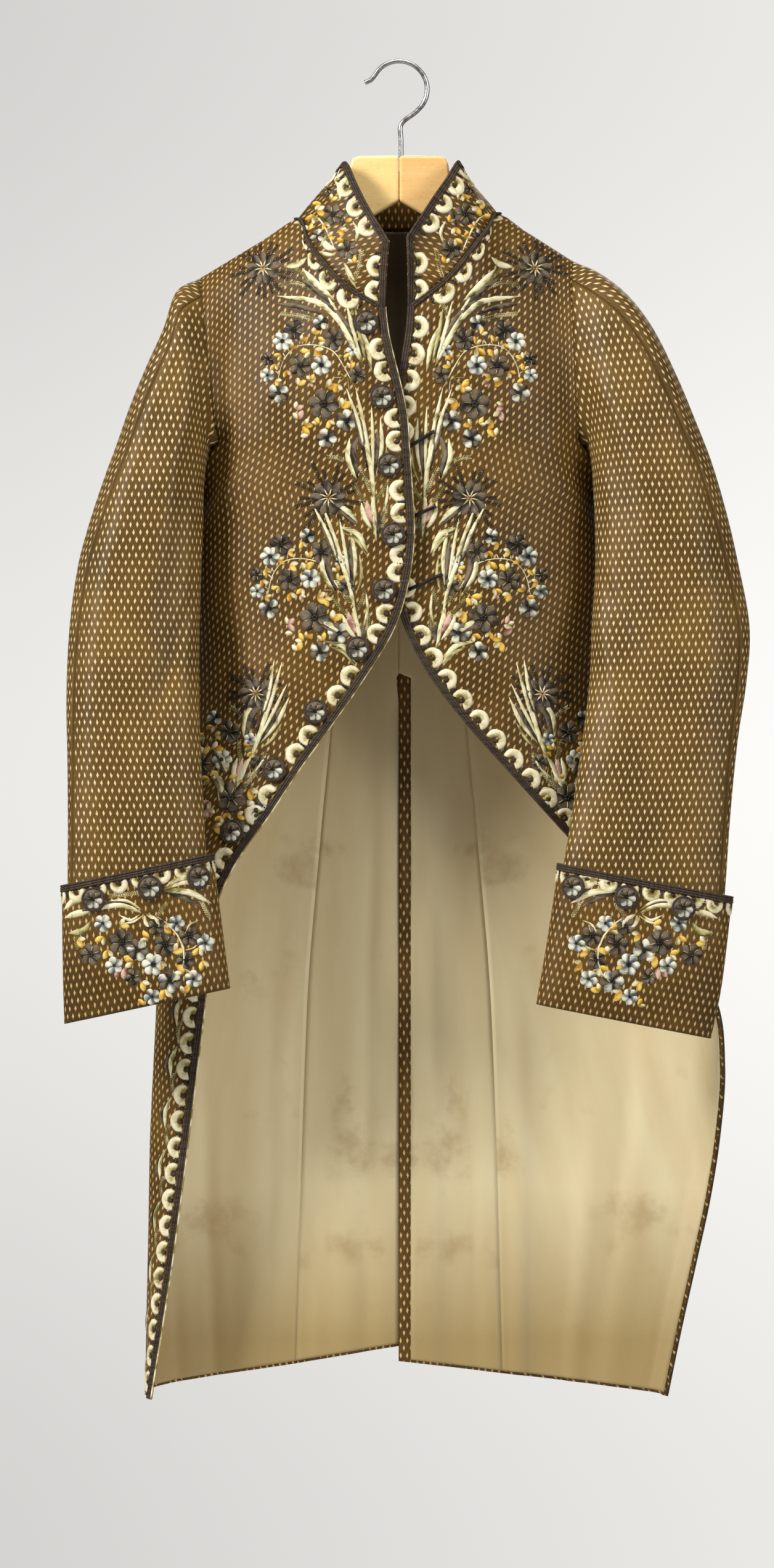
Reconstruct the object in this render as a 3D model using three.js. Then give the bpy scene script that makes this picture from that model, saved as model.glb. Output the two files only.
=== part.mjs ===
// A court tailcoat of about 1790, of figured silk with a silk lining, hung on a wooden hanger.
//
// Millimetres, +Z up, the coat's front faces -Y, and +X is the wearer's left. The origin is the inside
// top of the hanger's hook, where the rail or peg that holds the coat touches it.
//
// All the cloth is one skin: a net of points on the coat's outer face. The body is worked out from
// half sections at a few heights, the shoulders are drawn up from the chest line to the shoulder seam
// and the neckline, and the collar and the sleeves start on the points of the neckline and the
// armhole. Each cut piece is a wall under its own part of the net, parted from its neighbours at the
// seams, and what lies on a piece (braid, buttons, lining) is made from the same points.
import * as THREE from "three";

// ---------------------------------------------------------------- driving dimensions
const CLOTH = 1.8; // silk with its interlining
const LINING = 1.0;
const COLLAR_CLOTH = 2.4; // two layers of silk over buckram
const CUFF_CLOTH = 2.2;
const SEAM_GAP = 0.3; // between two pieces that are sewn together
const LINING_DEPTH = CLOTH + 0.5; // the lining's face below the coat's outer face
const LINING_SHORT = 2.5; // the lining stops this far inside a free edge
const BRAID_WIDTH = 6; // braid of chenille cord, sewn along the edges
const BRAID_THICK = 1.6;
const BRAID_CLEAR = 0.4; // between the braid and the cloth under it

const CHEST_Z = -350; // the armhole's bottom
const HIP_Z = -857; // below this the coat is only its two tails
const VENT_TOP_Z = -560; // the centre back seam ends and the vent starts
const VENT_GAP = 1.6; // between the two tails along the vent

const BACK_COLUMNS = 6; // net columns from the centre back to the side-back seam
const NECK_COLUMNS = 3; // of these, the ones that end on the back neckline
const UNDERARM_COLUMNS = 2;
const FRONT_COLUMNS = 8;
const SHOULDER_COLUMNS = BACK_COLUMNS - NECK_COLUMNS;
const ARMHOLE_BACK = BACK_COLUMNS;
const ARMHOLE_FRONT = BACK_COLUMNS + UNDERARM_COLUMNS;
const FRONT_NECK = ARMHOLE_FRONT + SHOULDER_COLUMNS; // front column at the neck end of the shoulder
const LAST_COLUMN = ARMHOLE_FRONT + FRONT_COLUMNS;
const BRAID_COLUMN = LAST_COLUMN - 1; // the last column of cells is as wide as the braid
const NECK_BRAID_START = FRONT_NECK + 2; // behind this the collar's own fold hides the seam
const YOKE_ROWS = 7; // net rows from the shoulder seam down to the chest line
const BODY_ROWS = 12; // from the chest line to the hip
const TAIL_ROWS = 6; // from the hip to the hem
const YOKE_SHARES = [0, 0.05, 0.2, 0.36, 0.53, 0.69, 0.85, 1]; // of a column's curve, by row
const COLLAR_ROWS = 3;

// ---------------------------------------------------------------- the body's half sections
// Each row is one height. Each pair is the distance out from the middle plane and the depth, with +
// to the back. The fronts wrap closed down to the waist; the wearer's right front laps over the left.
// Below the waist the fronts are cut away. The left tail hangs open and flat, with its lining to the
// front, and the right one curls forward along its front edge.
const LEFT_BODY = [
  { z: -350, centreBack: [0, 62], back: [90, 66], sideBack: [151, 48], side: [168, 6],
    frontSide: [156, -36], front: [88, -56], edge: [-7, -56] },
  { z: -395, centreBack: [0, 59], back: [89, 64], sideBack: [151, 50], side: [182, 22],
    frontSide: [159, -30], front: [88, -56.5], edge: [-9.5, -56.3] },
  { z: -430, centreBack: [0, 56], back: [88, 62], sideBack: [152, 49], side: [187, 26],
    frontSide: [162, -25], front: [88, -57], edge: [-11, -56.5] },
  { z: -505, centreBack: [0, 50], back: [86, 58], sideBack: [153, 47], side: [189, 27],
    frontSide: [164, -22], front: [92, -55], edge: [1, -57.5] },
  { z: -570, centreBack: [0, 48], back: [88, 58], sideBack: [155, 48], side: [188, 27],
    frontSide: [170, -16], front: [112, -51], edge: [34, -59] },
  { z: -640, centreBack: [0, 48], back: [92, 60], sideBack: [159, 52], side: [188, 26],
    frontSide: [186, -6], front: [152, -34], edge: [93, -52] },
  { z: -706, centreBack: [0, 50], back: [98, 62], sideBack: [174, 56], side: [206, 38],
    frontSide: [213, 12], front: [195, -18], edge: [153, -40] },
  { z: -780, centreBack: [0, 50], back: [104, 62], sideBack: [188, 57], side: [226, 46],
    frontSide: [248, 26], front: [248, 0], edge: [221, -24] },
  { z: -857, centreBack: [0, 50], back: [108, 60], sideBack: [194, 56], side: [238, 48],
    frontSide: [266, 36], front: [282, 20], edge: [289, 2] },
  { z: -945, centreBack: [0, 46], back: [106, 54], sideBack: [188, 51], side: [234, 46],
    frontSide: [264, 37], front: [283, 24], edge: [296, 10] },
  { z: -1040, centreBack: [0, 42], back: [102, 49], sideBack: [180, 48], side: [223, 44],
    frontSide: [252, 37], front: [271, 28], edge: [284.5, 18] },
  { z: -1133, centreBack: [0, 39], back: [96, 45], sideBack: [168, 45], side: [208, 42],
    frontSide: [235, 37], front: [252, 30], edge: [264, 22] },
  { z: -1221, centreBack: [0, 37], back: [90, 42], sideBack: [157, 42], side: [194, 40],
    frontSide: [219, 36], front: [235, 30], edge: [246, 24] },
];
const RIGHT_BODY = [
  { z: -350, centreBack: [0, 62], back: [90, 66], sideBack: [151, 48], side: [168, 6],
    frontSide: [156, -36], front: [88, -58], edge: [-8, -65.5] },
  { z: -395, centreBack: [0, 59], back: [89, 64], sideBack: [151, 50], side: [182, 22],
    frontSide: [159, -30], front: [88, -59], edge: [-11, -66] },
  { z: -430, centreBack: [0, 56], back: [88, 62], sideBack: [152, 49], side: [188, 26],
    frontSide: [162, -25], front: [88, -60], edge: [-13, -66.5] },
  { z: -505, centreBack: [0, 50], back: [86, 58], sideBack: [153, 47], side: [191, 27],
    frontSide: [165, -22], front: [92, -58], edge: [0, -66] },
  { z: -570, centreBack: [0, 48], back: [88, 58], sideBack: [156, 48], side: [193, 27],
    frontSide: [170, -16], front: [114, -52], edge: [37, -62] },
  { z: -640, centreBack: [0, 48], back: [92, 60], sideBack: [161, 52], side: [192, 27],
    frontSide: [181, -8], front: [146, -38], edge: [87, -56] },
  { z: -706, centreBack: [0, 50], back: [98, 62], sideBack: [170, 56], side: [206, 32],
    frontSide: [204, -4], front: [176, -34], edge: [131, -48] },
  { z: -757, centreBack: [0, 50], back: [100, 62], sideBack: [176, 56], side: [213, 34],
    frontSide: [215, -2], front: [195, -30], edge: [164, -42] },
  { z: -869, centreBack: [0, 49], back: [100, 60], sideBack: [178, 54], side: [216, 34],
    frontSide: [222, 2], front: [206, -24], edge: [178, -36] },
  { z: -980, centreBack: [0, 45], back: [98, 56], sideBack: [174, 52], side: [216, 36],
    frontSide: [228, 8], front: [216, -12], edge: [192, -24] },
  { z: -1100, centreBack: [0, 41], back: [96, 50], sideBack: [172, 49], side: [215, 36],
    frontSide: [231, 14], front: [226, -4], edge: [208, -16] },
  { z: -1221, centreBack: [0, 38], back: [94, 45], sideBack: [170, 46], side: [212, 37],
    frontSide: [232, 21], front: [234, 4], edge: [227, -8] },
];
const SECTION_POINTS = ["centreBack", "back", "sideBack", "side", "frontSide", "front", "edge"];

// The side-back seam, as cloth measured out from the centre back: from the back of the armhole it
// curves in to the waist, and the tails widen below it.
const SIDE_BACK_SEAM = [
  { z: -350, out: 168 },
  { z: -400, out: 122 },
  { z: -448, out: 88 },
  { z: -505, out: 65 },
  { z: -570, out: 61 },
  { z: -700, out: 72 },
  { z: -860, out: 85 },
  { z: -1221, out: 96 },
];

// The largest soft folds of the body, one row each. A fold runs from its top to its bottom height along
// a net column, reaches so many columns to each side, and stands out (+) or in (-) by its depth in mm.
// One that runs past the hem is at its full depth there.
const LEFT_FOLDS = [
  { top: -215, bottom: -470, column: 9.2, reach: 1.5, depth: -5 },
  { top: -560, bottom: -900, column: 10.6, reach: 1.7, depth: 4 },
  { top: -800, bottom: -1500, column: 8.4, reach: 1.8, depth: 4.5 },
  { top: -840, bottom: -1500, column: 12.2, reach: 1.7, depth: -4 },
  { top: -700, bottom: -1500, column: 3.4, reach: 1.8, depth: 3.5 },
];
const RIGHT_FOLDS = [
  { top: -215, bottom: -450, column: 9.1, reach: 1.5, depth: -5 },
  { top: -560, bottom: -820, column: 10.4, reach: 1.6, depth: 4 },
  { top: -720, bottom: -1500, column: 8.2, reach: 1.7, depth: -4.5 },
  { top: -760, bottom: -1500, column: 3.2, reach: 1.8, depth: -3.5 },
];

// ---------------------------------------------------------------- shoulders, neck, collar, sleeves
// Points are [out from the middle plane, depth, height]. The neckline runs from the shoulder to the
// front neck point. "lean" says how a net column leaves its top end: how far it goes forward (or back)
// and down before it turns to the chest. The collar's top edge has one point for each net column, from
// the centre back to the front corner.
const LEFT = {
  side: "left",
  out: 1,
  body: LEFT_BODY,
  folds: LEFT_FOLDS,
  backNeck: [[0, 50, -150], [36, 46, -148], [68, 30, -143], [90.6, 6, -137]],
  shoulderPoint: [160, 14, -180],
  neckline: [[90.6, 6, -137], [74.3, -33, -160], [44, -53, -198], [8.2, -55, -226]],
  armholeFront: { chest: [-6, -30, 34], top: [-5, -46, -14] },
  armholeBack: { chest: [-6, 20, 40], top: [-6, 36, -10] },
  collarTop: [
    [0, 39, -96], [25, 37, -96], [45, 27, -97], [55, 6, -97.5], [53, -15, -91],
    [43, -30, -108], [31, -42, -126], [19, -51, -145], [7.3, -58, -163],
  ],
  hem: { vent: -1190, corner: -1221 },
};
const RIGHT = {
  side: "right",
  out: -1,
  body: RIGHT_BODY,
  folds: RIGHT_FOLDS,
  backNeck: [[0, 50, -150], [36, 46, -149], [70, 30, -146], [93, 6, -142]],
  shoulderPoint: [182, 16, -195],
  neckline: [[93, 6, -142], [76.7, -32, -172.5], [47, -54, -206], [13, -59, -227]],
  armholeFront: { chest: [4, -32, 30], top: [-3, -48, -14] },
  armholeBack: { chest: [-6, 20, 40], top: [-8, 36, -10] },
  collarTop: [
    [0, 39, -96], [25, 37, -96], [45, 27, -97], [54, 6, -98], [48, -15, -92],
    [39, -30, -112], [30, -42, -131], [20, -52, -149], [9.7, -60, -167],
  ],
  hem: { vent: -1176, corner: -1221 },
};
const SHOULDER_LEAN = { front: [0, -32, -4], back: [0, 30, -4] };
const NECK_LEAN = { front: [0, -3, -36], back: [0, 6, -30] };
const CHEST_RISE = 0.36; // share of a column's height that it rises before it leans over

// Sleeves: one row for each ring, from the armhole to the wrist. The outer and inner ends are
// [out, height] on the sleeve's silhouette, mid is the depth of the ring's middle and halfDeep its
// half depth. The sleeves hang forward of the body and flatten towards the cuff.
const LEFT_SLEEVE = [
  { outer: [184, -192], inner: [171.5, -354], mid: 0, halfDeep: 45 },
  { outer: [209, -212], inner: [173, -358], mid: -4, halfDeep: 50 },
  { outer: [232, -243], inner: [174.5, -364], mid: -8, halfDeep: 52 },
  { outer: [254, -288], inner: [176, -375], mid: -13, halfDeep: 53 },
  { outer: [270, -327], inner: [177, -391], mid: -18, halfDeep: 53 },
  { outer: [285, -366], inner: [178, -411], mid: -23, halfDeep: 51 },
  { outer: [298, -412], inner: [178.5, -440], mid: -29, halfDeep: 49 },
  { outer: [308, -457], inner: [178, -472], mid: -35, halfDeep: 46 },
  { outer: [318, -515], inner: [175, -513], mid: -45, halfDeep: 40 },
  { outer: [315, -565], inner: [172, -570], mid: -56, halfDeep: 35 },
  { outer: [306, -622], inner: [164, -630], mid: -69, halfDeep: 30 },
  { outer: [299, -686], inner: [156, -684], mid: -80, halfDeep: 26 },
  { outer: [294, -752], inner: [149, -726], mid: -87, halfDeep: 22 },
  { outer: [288, -815], inner: [139, -788], mid: -89, halfDeep: 20 },
  { outer: [277, -880], inner: [128, -851], mid: -89, halfDeep: 18 },
];
const RIGHT_SLEEVE = [
  { outer: [204, -209], inner: [172, -354], mid: 0, halfDeep: 46 },
  { outer: [215, -242], inner: [174, -359], mid: -4, halfDeep: 50 },
  { outer: [230, -276], inner: [175.5, -366], mid: -9, halfDeep: 52 },
  { outer: [245, -313], inner: [177, -377], mid: -14, halfDeep: 53 },
  { outer: [257, -348], inner: [178, -393], mid: -19, halfDeep: 53 },
  { outer: [270, -384], inner: [178.5, -413], mid: -24, halfDeep: 51 },
  { outer: [283, -425], inner: [179, -441], mid: -29, halfDeep: 49 },
  { outer: [292, -461], inner: [180, -472], mid: -35, halfDeep: 46 },
  { outer: [299, -515], inner: [181, -516], mid: -45, halfDeep: 41 },
  { outer: [301.5, -580], inner: [181, -580], mid: -58, halfDeep: 35 },
  { outer: [300, -640], inner: [179, -636], mid: -71, halfDeep: 30 },
  { outer: [299, -694], inner: [176, -684], mid: -81, halfDeep: 26 },
  { outer: [299, -746], inner: [174, -719], mid: -87, halfDeep: 22 },
  { outer: [299, -808], inner: [166, -778], mid: -89, halfDeep: 20 },
  { outer: [298, -868], inner: [158, -838], mid: -89, halfDeep: 18 },
];
const RING_POINTS = 2 * YOKE_ROWS + UNDERARM_COLUMNS;
const FRONT_SEAM = 2; // ring points of the sleeve's two seams: each sleeve is cut in two pieces
const BACK_SEAM = 11;
const SLEEVE_FULLNESS = { armhole: 0.95, wrist: 0.75 }; // exponent of a ring: 1 is an ellipse
const CUFF_FULLNESS = 0.65;

// Turned-back cuffs, from the upper edge to the fold at the wrist.
const CUFF_POINTS = 20;
const LEFT_CUFF = [
  { outer: [299.5, -761], inner: [143.5, -731], mid: -87, halfDeep: 28 },
  { outer: [299, -767.5], inner: [142.6, -737.5], mid: -87.2, halfDeep: 27.7 },
  { outer: [295, -803], inner: [137, -773], mid: -88.5, halfDeep: 26 },
  { outer: [289, -846], inner: [130, -815], mid: -89, halfDeep: 24 },
  { outer: [280, -888], inner: [122.5, -857], mid: -89, halfDeep: 22 },
];
const RIGHT_CUFF = [
  { outer: [304, -751], inner: [168.5, -722], mid: -87, halfDeep: 28 },
  { outer: [304, -757.5], inner: [167.7, -728.3], mid: -87.2, halfDeep: 27.7 },
  { outer: [304, -793], inner: [163, -762], mid: -88.5, halfDeep: 26 },
  { outer: [303.5, -834], inner: [158, -803], mid: -89, halfDeep: 24 },
  { outer: [302.5, -875], inner: [153, -843], mid: -89, halfDeep: 22 },
];

// Embroidered buttons: a dome on a rimmed disc, their middles this far in from the edge. The front's
// are given by height, on the wearer's right front, and each cuff's by its place out from the middle.
const BUTTON = { radius: 11, rim: 1.6, dome: 5.2, clear: 0.4, facets: 12, fromEdge: 18 };
const FRONT_BUTTONS = [-239, -304.5, -369, -435.5, -489, -545.5, -603.5, -656, -713];
const RIGHT_CUFF_BUTTONS = [181, 224, 274];
const LEFT_CUFF_BUTTONS = [157, 204, 255];

// Hanger: two flat arms of beech, mitred at the middle, each swept back from the mitre. The outline
// is [out from the middle, height] on one arm.
const HANGER = { thick: 13, bevel: 3, sweep: 0.11, mitreGap: 0.15 };
const HANGER_HEAD = { halfWidth: 45, top: -84.6, corner: 6 };
const HANGER_ARM = { apex: -126.5, slope: 0.565, tip: 170, tipTop: -203 };
const HANGER_NECK = [[53, -116], [70, -140], [94, -157]]; // the concave line from the head to the arm
const HOOK = { wire: 4.4, radius: 25.8, stemX: 1.9, stemTop: -56, fromAngle: -52, toAngle: 152 };
const HOOK_CURL = [{ turn: 10, out: 1.5 }, { turn: 17, out: 6 }]; // past the bow, opening outwards
const HOOK_STEPS = 40;

// ---------------------------------------------------------------- small helpers
const vec = (x, y, z) => new THREE.Vector3(x, y, z);
const mix = (a, b, t) => a + (b - a) * t;

// A value of a table at a height: a smooth curve through the rows, flat beyond its two ends.
function atHeight(rows, z, read) {
  const n = rows.length;
  if (z >= rows[0].z) return read(rows[0]);
  if (z <= rows[n - 1].z) return read(rows[n - 1]);
  let i = 0;
  while (rows[i + 1].z > z) i += 1;
  const slope = (k) => {
    const before = rows[Math.max(k - 1, 0)];
    const after = rows[Math.min(k + 1, n - 1)];
    return (read(after) - read(before)) / (after.z - before.z);
  };
  const span = rows[i + 1].z - rows[i].z;
  const t = (z - rows[i].z) / span;
  const t2 = t * t;
  const t3 = t2 * t;
  return (
    (2 * t3 - 3 * t2 + 1) * read(rows[i]) +
    (t3 - 2 * t2 + t) * span * slope(i) +
    (3 * t2 - 2 * t3) * read(rows[i + 1]) +
    (t3 - t2) * span * slope(i + 1)
  );
}

function bezier(p0, p1, p2, p3, t) {
  return new THREE.CubicBezierCurve3(p0, p1, p2, p3).getPoint(t);
}

function smoothCurve(points, out) {
  return new THREE.CatmullRomCurve3(points.map(([x, y, z]) => vec(x * out, y, z)), false, "centripetal");
}

// ---------------------------------------------------------------- the net
// A point of the body at a height. column runs from 0 at the centre back to LAST_COLUMN at the front
// edge, with the side-back seam on column ARMHOLE_BACK.
function bodyPoint(half, z, column) {
  const section = smoothCurve(
    SECTION_POINTS.map((name) => [
      atHeight(half.body, z, (row) => row[name][0]),
      atHeight(half.body, z, (row) => row[name][1]),
      z,
    ]),
    half.out,
  );
  const girth = section.getLength();
  const seam = atHeight(SIDE_BACK_SEAM, z, (row) => row.out);
  let along = (seam * column) / ARMHOLE_BACK;
  if (column > ARMHOLE_BACK)
    along = mix(seam, girth - BRAID_WIDTH, (column - ARMHOLE_BACK) / (BRAID_COLUMN - ARMHOLE_BACK));
  if (column === LAST_COLUMN) along = girth;
  return section.getPointAt(along / girth);
}

const SHARED_NORMAL = 0.3; // cosine of the sharpest fold over which two groups share a normal

class Net {
  constructor() {
    this.points = [];
    this.keys = new Map();
    this.quads = [];
  }
  point(key, make) {
    if (!this.keys.has(key)) {
      this.keys.set(key, this.points.length);
      this.points.push(make());
    }
    return this.keys.get(key);
  }
  // Corners go round as seen from outside on the wearer's left, and are turned round on the right.
  quad(piece, out, row, column, [a, b, c, d]) {
    this.quads.push({ piece, row, column, corners: out > 0 ? [a, b, c, d] : [d, c, b, a] });
  }
  // A grid cell of a piece, between a row and a column and the next ones.
  cell(piece, out, row, column, id) {
    const corners = [id(row, column), id(row, column + 1), id(row + 1, column + 1), id(row + 1, column)];
    this.quad(piece, out, row, column, corners);
  }
  // Normals are worked out for the body and for each sleeve by itself. Where they nearly agree on the
  // armhole they share one, and under the arm, where the cloth folds back on itself, they don't.
  finish() {
    const groupOf = (piece) => (piece.startsWith("sleeve") ? `sleeve_${piece.split("_").pop()}` : "body");
    this.normals = new Map();
    this.edgeUses = new Map();
    for (const { piece, corners } of this.quads) {
      const group = groupOf(piece);
      const [a, b, c, d] = corners.map((i) => this.points[i]);
      const normal = vec(0, 0, 0).crossVectors(c.clone().sub(a), d.clone().sub(b));
      corners.forEach((i, k) => {
        if (!this.normals.has(group)) this.normals.set(group, new Map());
        const normals = this.normals.get(group);
        if (!normals.has(i)) normals.set(i, vec(0, 0, 0));
        normals.get(i).add(normal);
        const key = edgeKey(i, corners[(k + 1) % 4]);
        this.edgeUses.set(key, (this.edgeUses.get(key) || 0) + 1);
      });
    }
    for (const normals of this.normals.values()) normals.forEach((n) => n.normalize());
    const body = this.normals.get("body");
    for (const [group, normals] of this.normals) {
      if (group === "body") continue;
      for (const [i, n] of normals) {
        if (!body?.has(i) || n.dot(body.get(i)) < SHARED_NORMAL) continue;
        const shared = n.clone().add(body.get(i)).normalize();
        n.copy(shared);
        body.get(i).copy(shared);
      }
    }
    this.normalAt = (piece, i) => this.normals.get(groupOf(piece)).get(i);
    return this;
  }
}

function edgeKey(i, j) {
  return i < j ? `${i}:${j}` : `${j}:${i}`;
}

// Rows are counted down from the shoulder seam: YOKE_ROWS is the chest line, HIP_ROW the hip.
const HIP_ROW = YOKE_ROWS + BODY_ROWS;
const HEM_ROW = HIP_ROW + TAIL_ROWS;

function rowHeight(half, row, column) {
  if (row <= HIP_ROW) return mix(CHEST_Z, HIP_Z, (row - YOKE_ROWS) / BODY_ROWS);
  const hem = mix(half.hem.vent, half.hem.corner, column / LAST_COLUMN);
  return mix(HIP_Z, hem, (row - HIP_ROW) / TAIL_ROWS);
}

// Where a net column ends at the top, and how it leaves that end.
function columnTop(half, column) {
  const shoulder = vec(half.shoulderPoint[0] * half.out, half.shoulderPoint[1], half.shoulderPoint[2]);
  const lean = ([x, y, z]) => vec(x * half.out, y, z);
  const isFront = column >= ARMHOLE_FRONT;
  const face = isFront ? "front" : "back";
  const armhole = isFront ? half.armholeFront : half.armholeBack;
  const fromArmhole = isFront ? column - ARMHOLE_FRONT : ARMHOLE_BACK - column;
  const neckSpan = isFront ? LAST_COLUMN - FRONT_NECK : NECK_COLUMNS;
  const neckPoint = smoothCurve(half.neckline, half.out).getPointAt(0);
  if (fromArmhole <= SHOULDER_COLUMNS) {
    const t = fromArmhole / SHOULDER_COLUMNS;
    return {
      point: shoulder.lerp(neckPoint, t),
      lean: lean(fromArmhole === 0 ? armhole.top : SHOULDER_LEAN[face]),
    };
  }
  const line = isFront
    ? smoothCurve(half.neckline, half.out)
    : smoothCurve([...half.backNeck].reverse(), half.out);
  let t = (fromArmhole - SHOULDER_COLUMNS) / neckSpan;
  if (isFront && column < LAST_COLUMN) {
    const beforeBraid = 1 - BRAID_WIDTH / line.getLength();
    t *= (beforeBraid * neckSpan) / (neckSpan - 1);
  }
  return {
    point: line.getPointAt(t),
    lean: lean(SHOULDER_LEAN[face]).lerp(lean(NECK_LEAN[face]), t),
  };
}

function yokePoint(half, row, column) {
  const chest = bodyPoint(half, CHEST_Z, column);
  const top = columnTop(half, column);
  const height = top.point.z - CHEST_Z;
  let rise = vec(0, 0, height * CHEST_RISE);
  if (column === ARMHOLE_FRONT || column === ARMHOLE_BACK) {
    const [x, y, z] = (column === ARMHOLE_FRONT ? half.armholeFront : half.armholeBack).chest;
    rise = vec(x * half.out, y, z);
  }
  return bezier(
    top.point,
    top.point.clone().add(top.lean),
    chest.clone().add(rise),
    chest,
    YOKE_SHARES[row],
  );
}

// The net's key of a point: halves share the centre back seam, fronts and backs the shoulder seam.
function bodyKey(half, row, column) {
  let name = half.side;
  let at = column;
  if (row === 0 && column >= ARMHOLE_FRONT && column <= FRONT_NECK)
    at = ARMHOLE_BACK - (column - ARMHOLE_FRONT);
  const onVent = row > YOKE_ROWS && rowHeight(half, row, column) < VENT_TOP_Z;
  if (at === 0 && !onVent) name = "centre";
  return `${name}:${row}:${at}`;
}

function addBody(net, half) {
  const id = (row, column) =>
    net.point(bodyKey(half, row, column), () => {
      const onYoke = row < YOKE_ROWS;
      const p = onYoke ? yokePoint(half, row, column) : bodyPoint(half, rowHeight(half, row, column), column);
      if (column === 0) p.x = bodyKey(half, row, column).startsWith("centre") ? 0 : (half.out * VENT_GAP) / 2;
      return p;
    });
  for (let row = 0; row < HEM_ROW; row += 1) {
    for (let column = 0; column < LAST_COLUMN; column += 1) {
      const underarm = column >= ARMHOLE_BACK && column < ARMHOLE_FRONT;
      if (row < YOKE_ROWS && underarm) continue;
      const piece = column < ARMHOLE_BACK ? "back" : "front";
      net.cell(`${piece}_${half.side}`, half.out, row, column, id);
    }
  }
  return id;
}

// How far the folds push a body point out of the plain form.
const FOLD_ENDS = 0.3; // share of a fold's length over which it rises from nothing
function foldAt(folds, z, column) {
  let push = 0;
  for (const { top, bottom, column: middle, reach, depth } of folds) {
    const across = Math.abs(column - middle) / reach;
    const along = (top - z) / (top - bottom);
    if (across >= 1 || along <= 0 || along >= 1) continue;
    const rise = Math.min(along, 1 - along, FOLD_ENDS) / FOLD_ENDS;
    push += depth * Math.cos((across * Math.PI) / 2) ** 2 * Math.sin((rise * Math.PI) / 2) ** 2;
  }
  return push;
}

function pushFolds(net, half, bodyId) {
  for (let row = 1; row <= HEM_ROW; row += 1) {
    for (let column = 1; column <= LAST_COLUMN; column += 1) {
      const inArmhole = row < YOKE_ROWS && column >= ARMHOLE_BACK && column <= ARMHOLE_FRONT;
      if (inArmhole) continue;
      const i = bodyId(row, column);
      net.points[i].addScaledVector(net.normalAt("body", i), foldAt(half.folds, net.points[i].z, column));
    }
  }
}

const COLLAR_COLUMNS = NECK_COLUMNS + LAST_COLUMN - FRONT_NECK;

function addCollar(net, half, bodyId) {
  const id = (row, column) => {
    if (row === COLLAR_ROWS)
      return column <= NECK_COLUMNS ? bodyId(0, column) : bodyId(0, FRONT_NECK + column - NECK_COLUMNS);
    const name = column === 0 ? "centre" : half.side;
    return net.point(`collar:${name}:${row}:${column}`, () => {
      const [x, y, z] = half.collarTop[column];
      const top = vec(x * half.out, y, z);
      const seam = net.points[id(COLLAR_ROWS, column)];
      const braid = BRAID_WIDTH / top.distanceTo(seam);
      const share = row === 0 ? 0 : mix(braid, 1, (row - 1) / (COLLAR_ROWS - 1));
      return top.lerp(seam, share);
    });
  };
  for (let row = 0; row < COLLAR_ROWS; row += 1) {
    for (let column = 0; column < COLLAR_COLUMNS; column += 1) net.cell("collar", half.out, row, column, id);
  }
}

// A ring of a sleeve or cuff. step 0 is its outer end, and it goes round by the front.
function ringPoint(ring, out, share, fullness) {
  const angle = 2 * Math.PI * share;
  const full = (v) => Math.sign(v) * Math.abs(v) ** fullness;
  const across = 0.5 + full(Math.cos(angle)) / 2;
  return vec(
    out * mix(ring.inner[0], ring.outer[0], across),
    ring.mid - ring.halfDeep * full(Math.sin(angle)),
    mix(ring.inner[1], ring.outer[1], across),
  );
}

function addSleeve(net, half, rings, bodyId) {
  const armhole = (k) => {
    if (k <= YOKE_ROWS) return bodyId(k, ARMHOLE_FRONT);
    if (k <= YOKE_ROWS + UNDERARM_COLUMNS) return bodyId(YOKE_ROWS, ARMHOLE_FRONT - (k - YOKE_ROWS));
    return bodyId(RING_POINTS - k, ARMHOLE_BACK);
  };
  const id = (ring, k) => {
    const at = k % RING_POINTS;
    if (ring === 0) return armhole(at);
    const fullness = mix(SLEEVE_FULLNESS.armhole, SLEEVE_FULLNESS.wrist, ring / rings.length);
    return net.point(`sleeve:${half.side}:${ring}:${at}`, () =>
      ringPoint(rings[ring - 1], half.out, at / RING_POINTS, fullness),
    );
  };
  for (let ring = 0; ring < rings.length; ring += 1) {
    for (let k = 0; k < RING_POINTS; k += 1) {
      const piece = k >= FRONT_SEAM && k < BACK_SEAM ? "sleeve_front" : "sleeve_back";
      net.cell(`${piece}_${half.side}`, half.out, ring, k, id);
    }
  }
}

function cuffNet(half, rings) {
  const net = new Net();
  const id = (ring, k) =>
    net.point(`${ring}:${k % CUFF_POINTS}`, () =>
      ringPoint(rings[ring], half.out, (k % CUFF_POINTS) / CUFF_POINTS, CUFF_FULLNESS),
    );
  for (let ring = 0; ring < rings.length - 1; ring += 1) {
    for (let k = 0; k < CUFF_POINTS; k += 1) net.cell("body", half.out, ring, k, id);
  }
  return net.finish();
}

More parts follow.
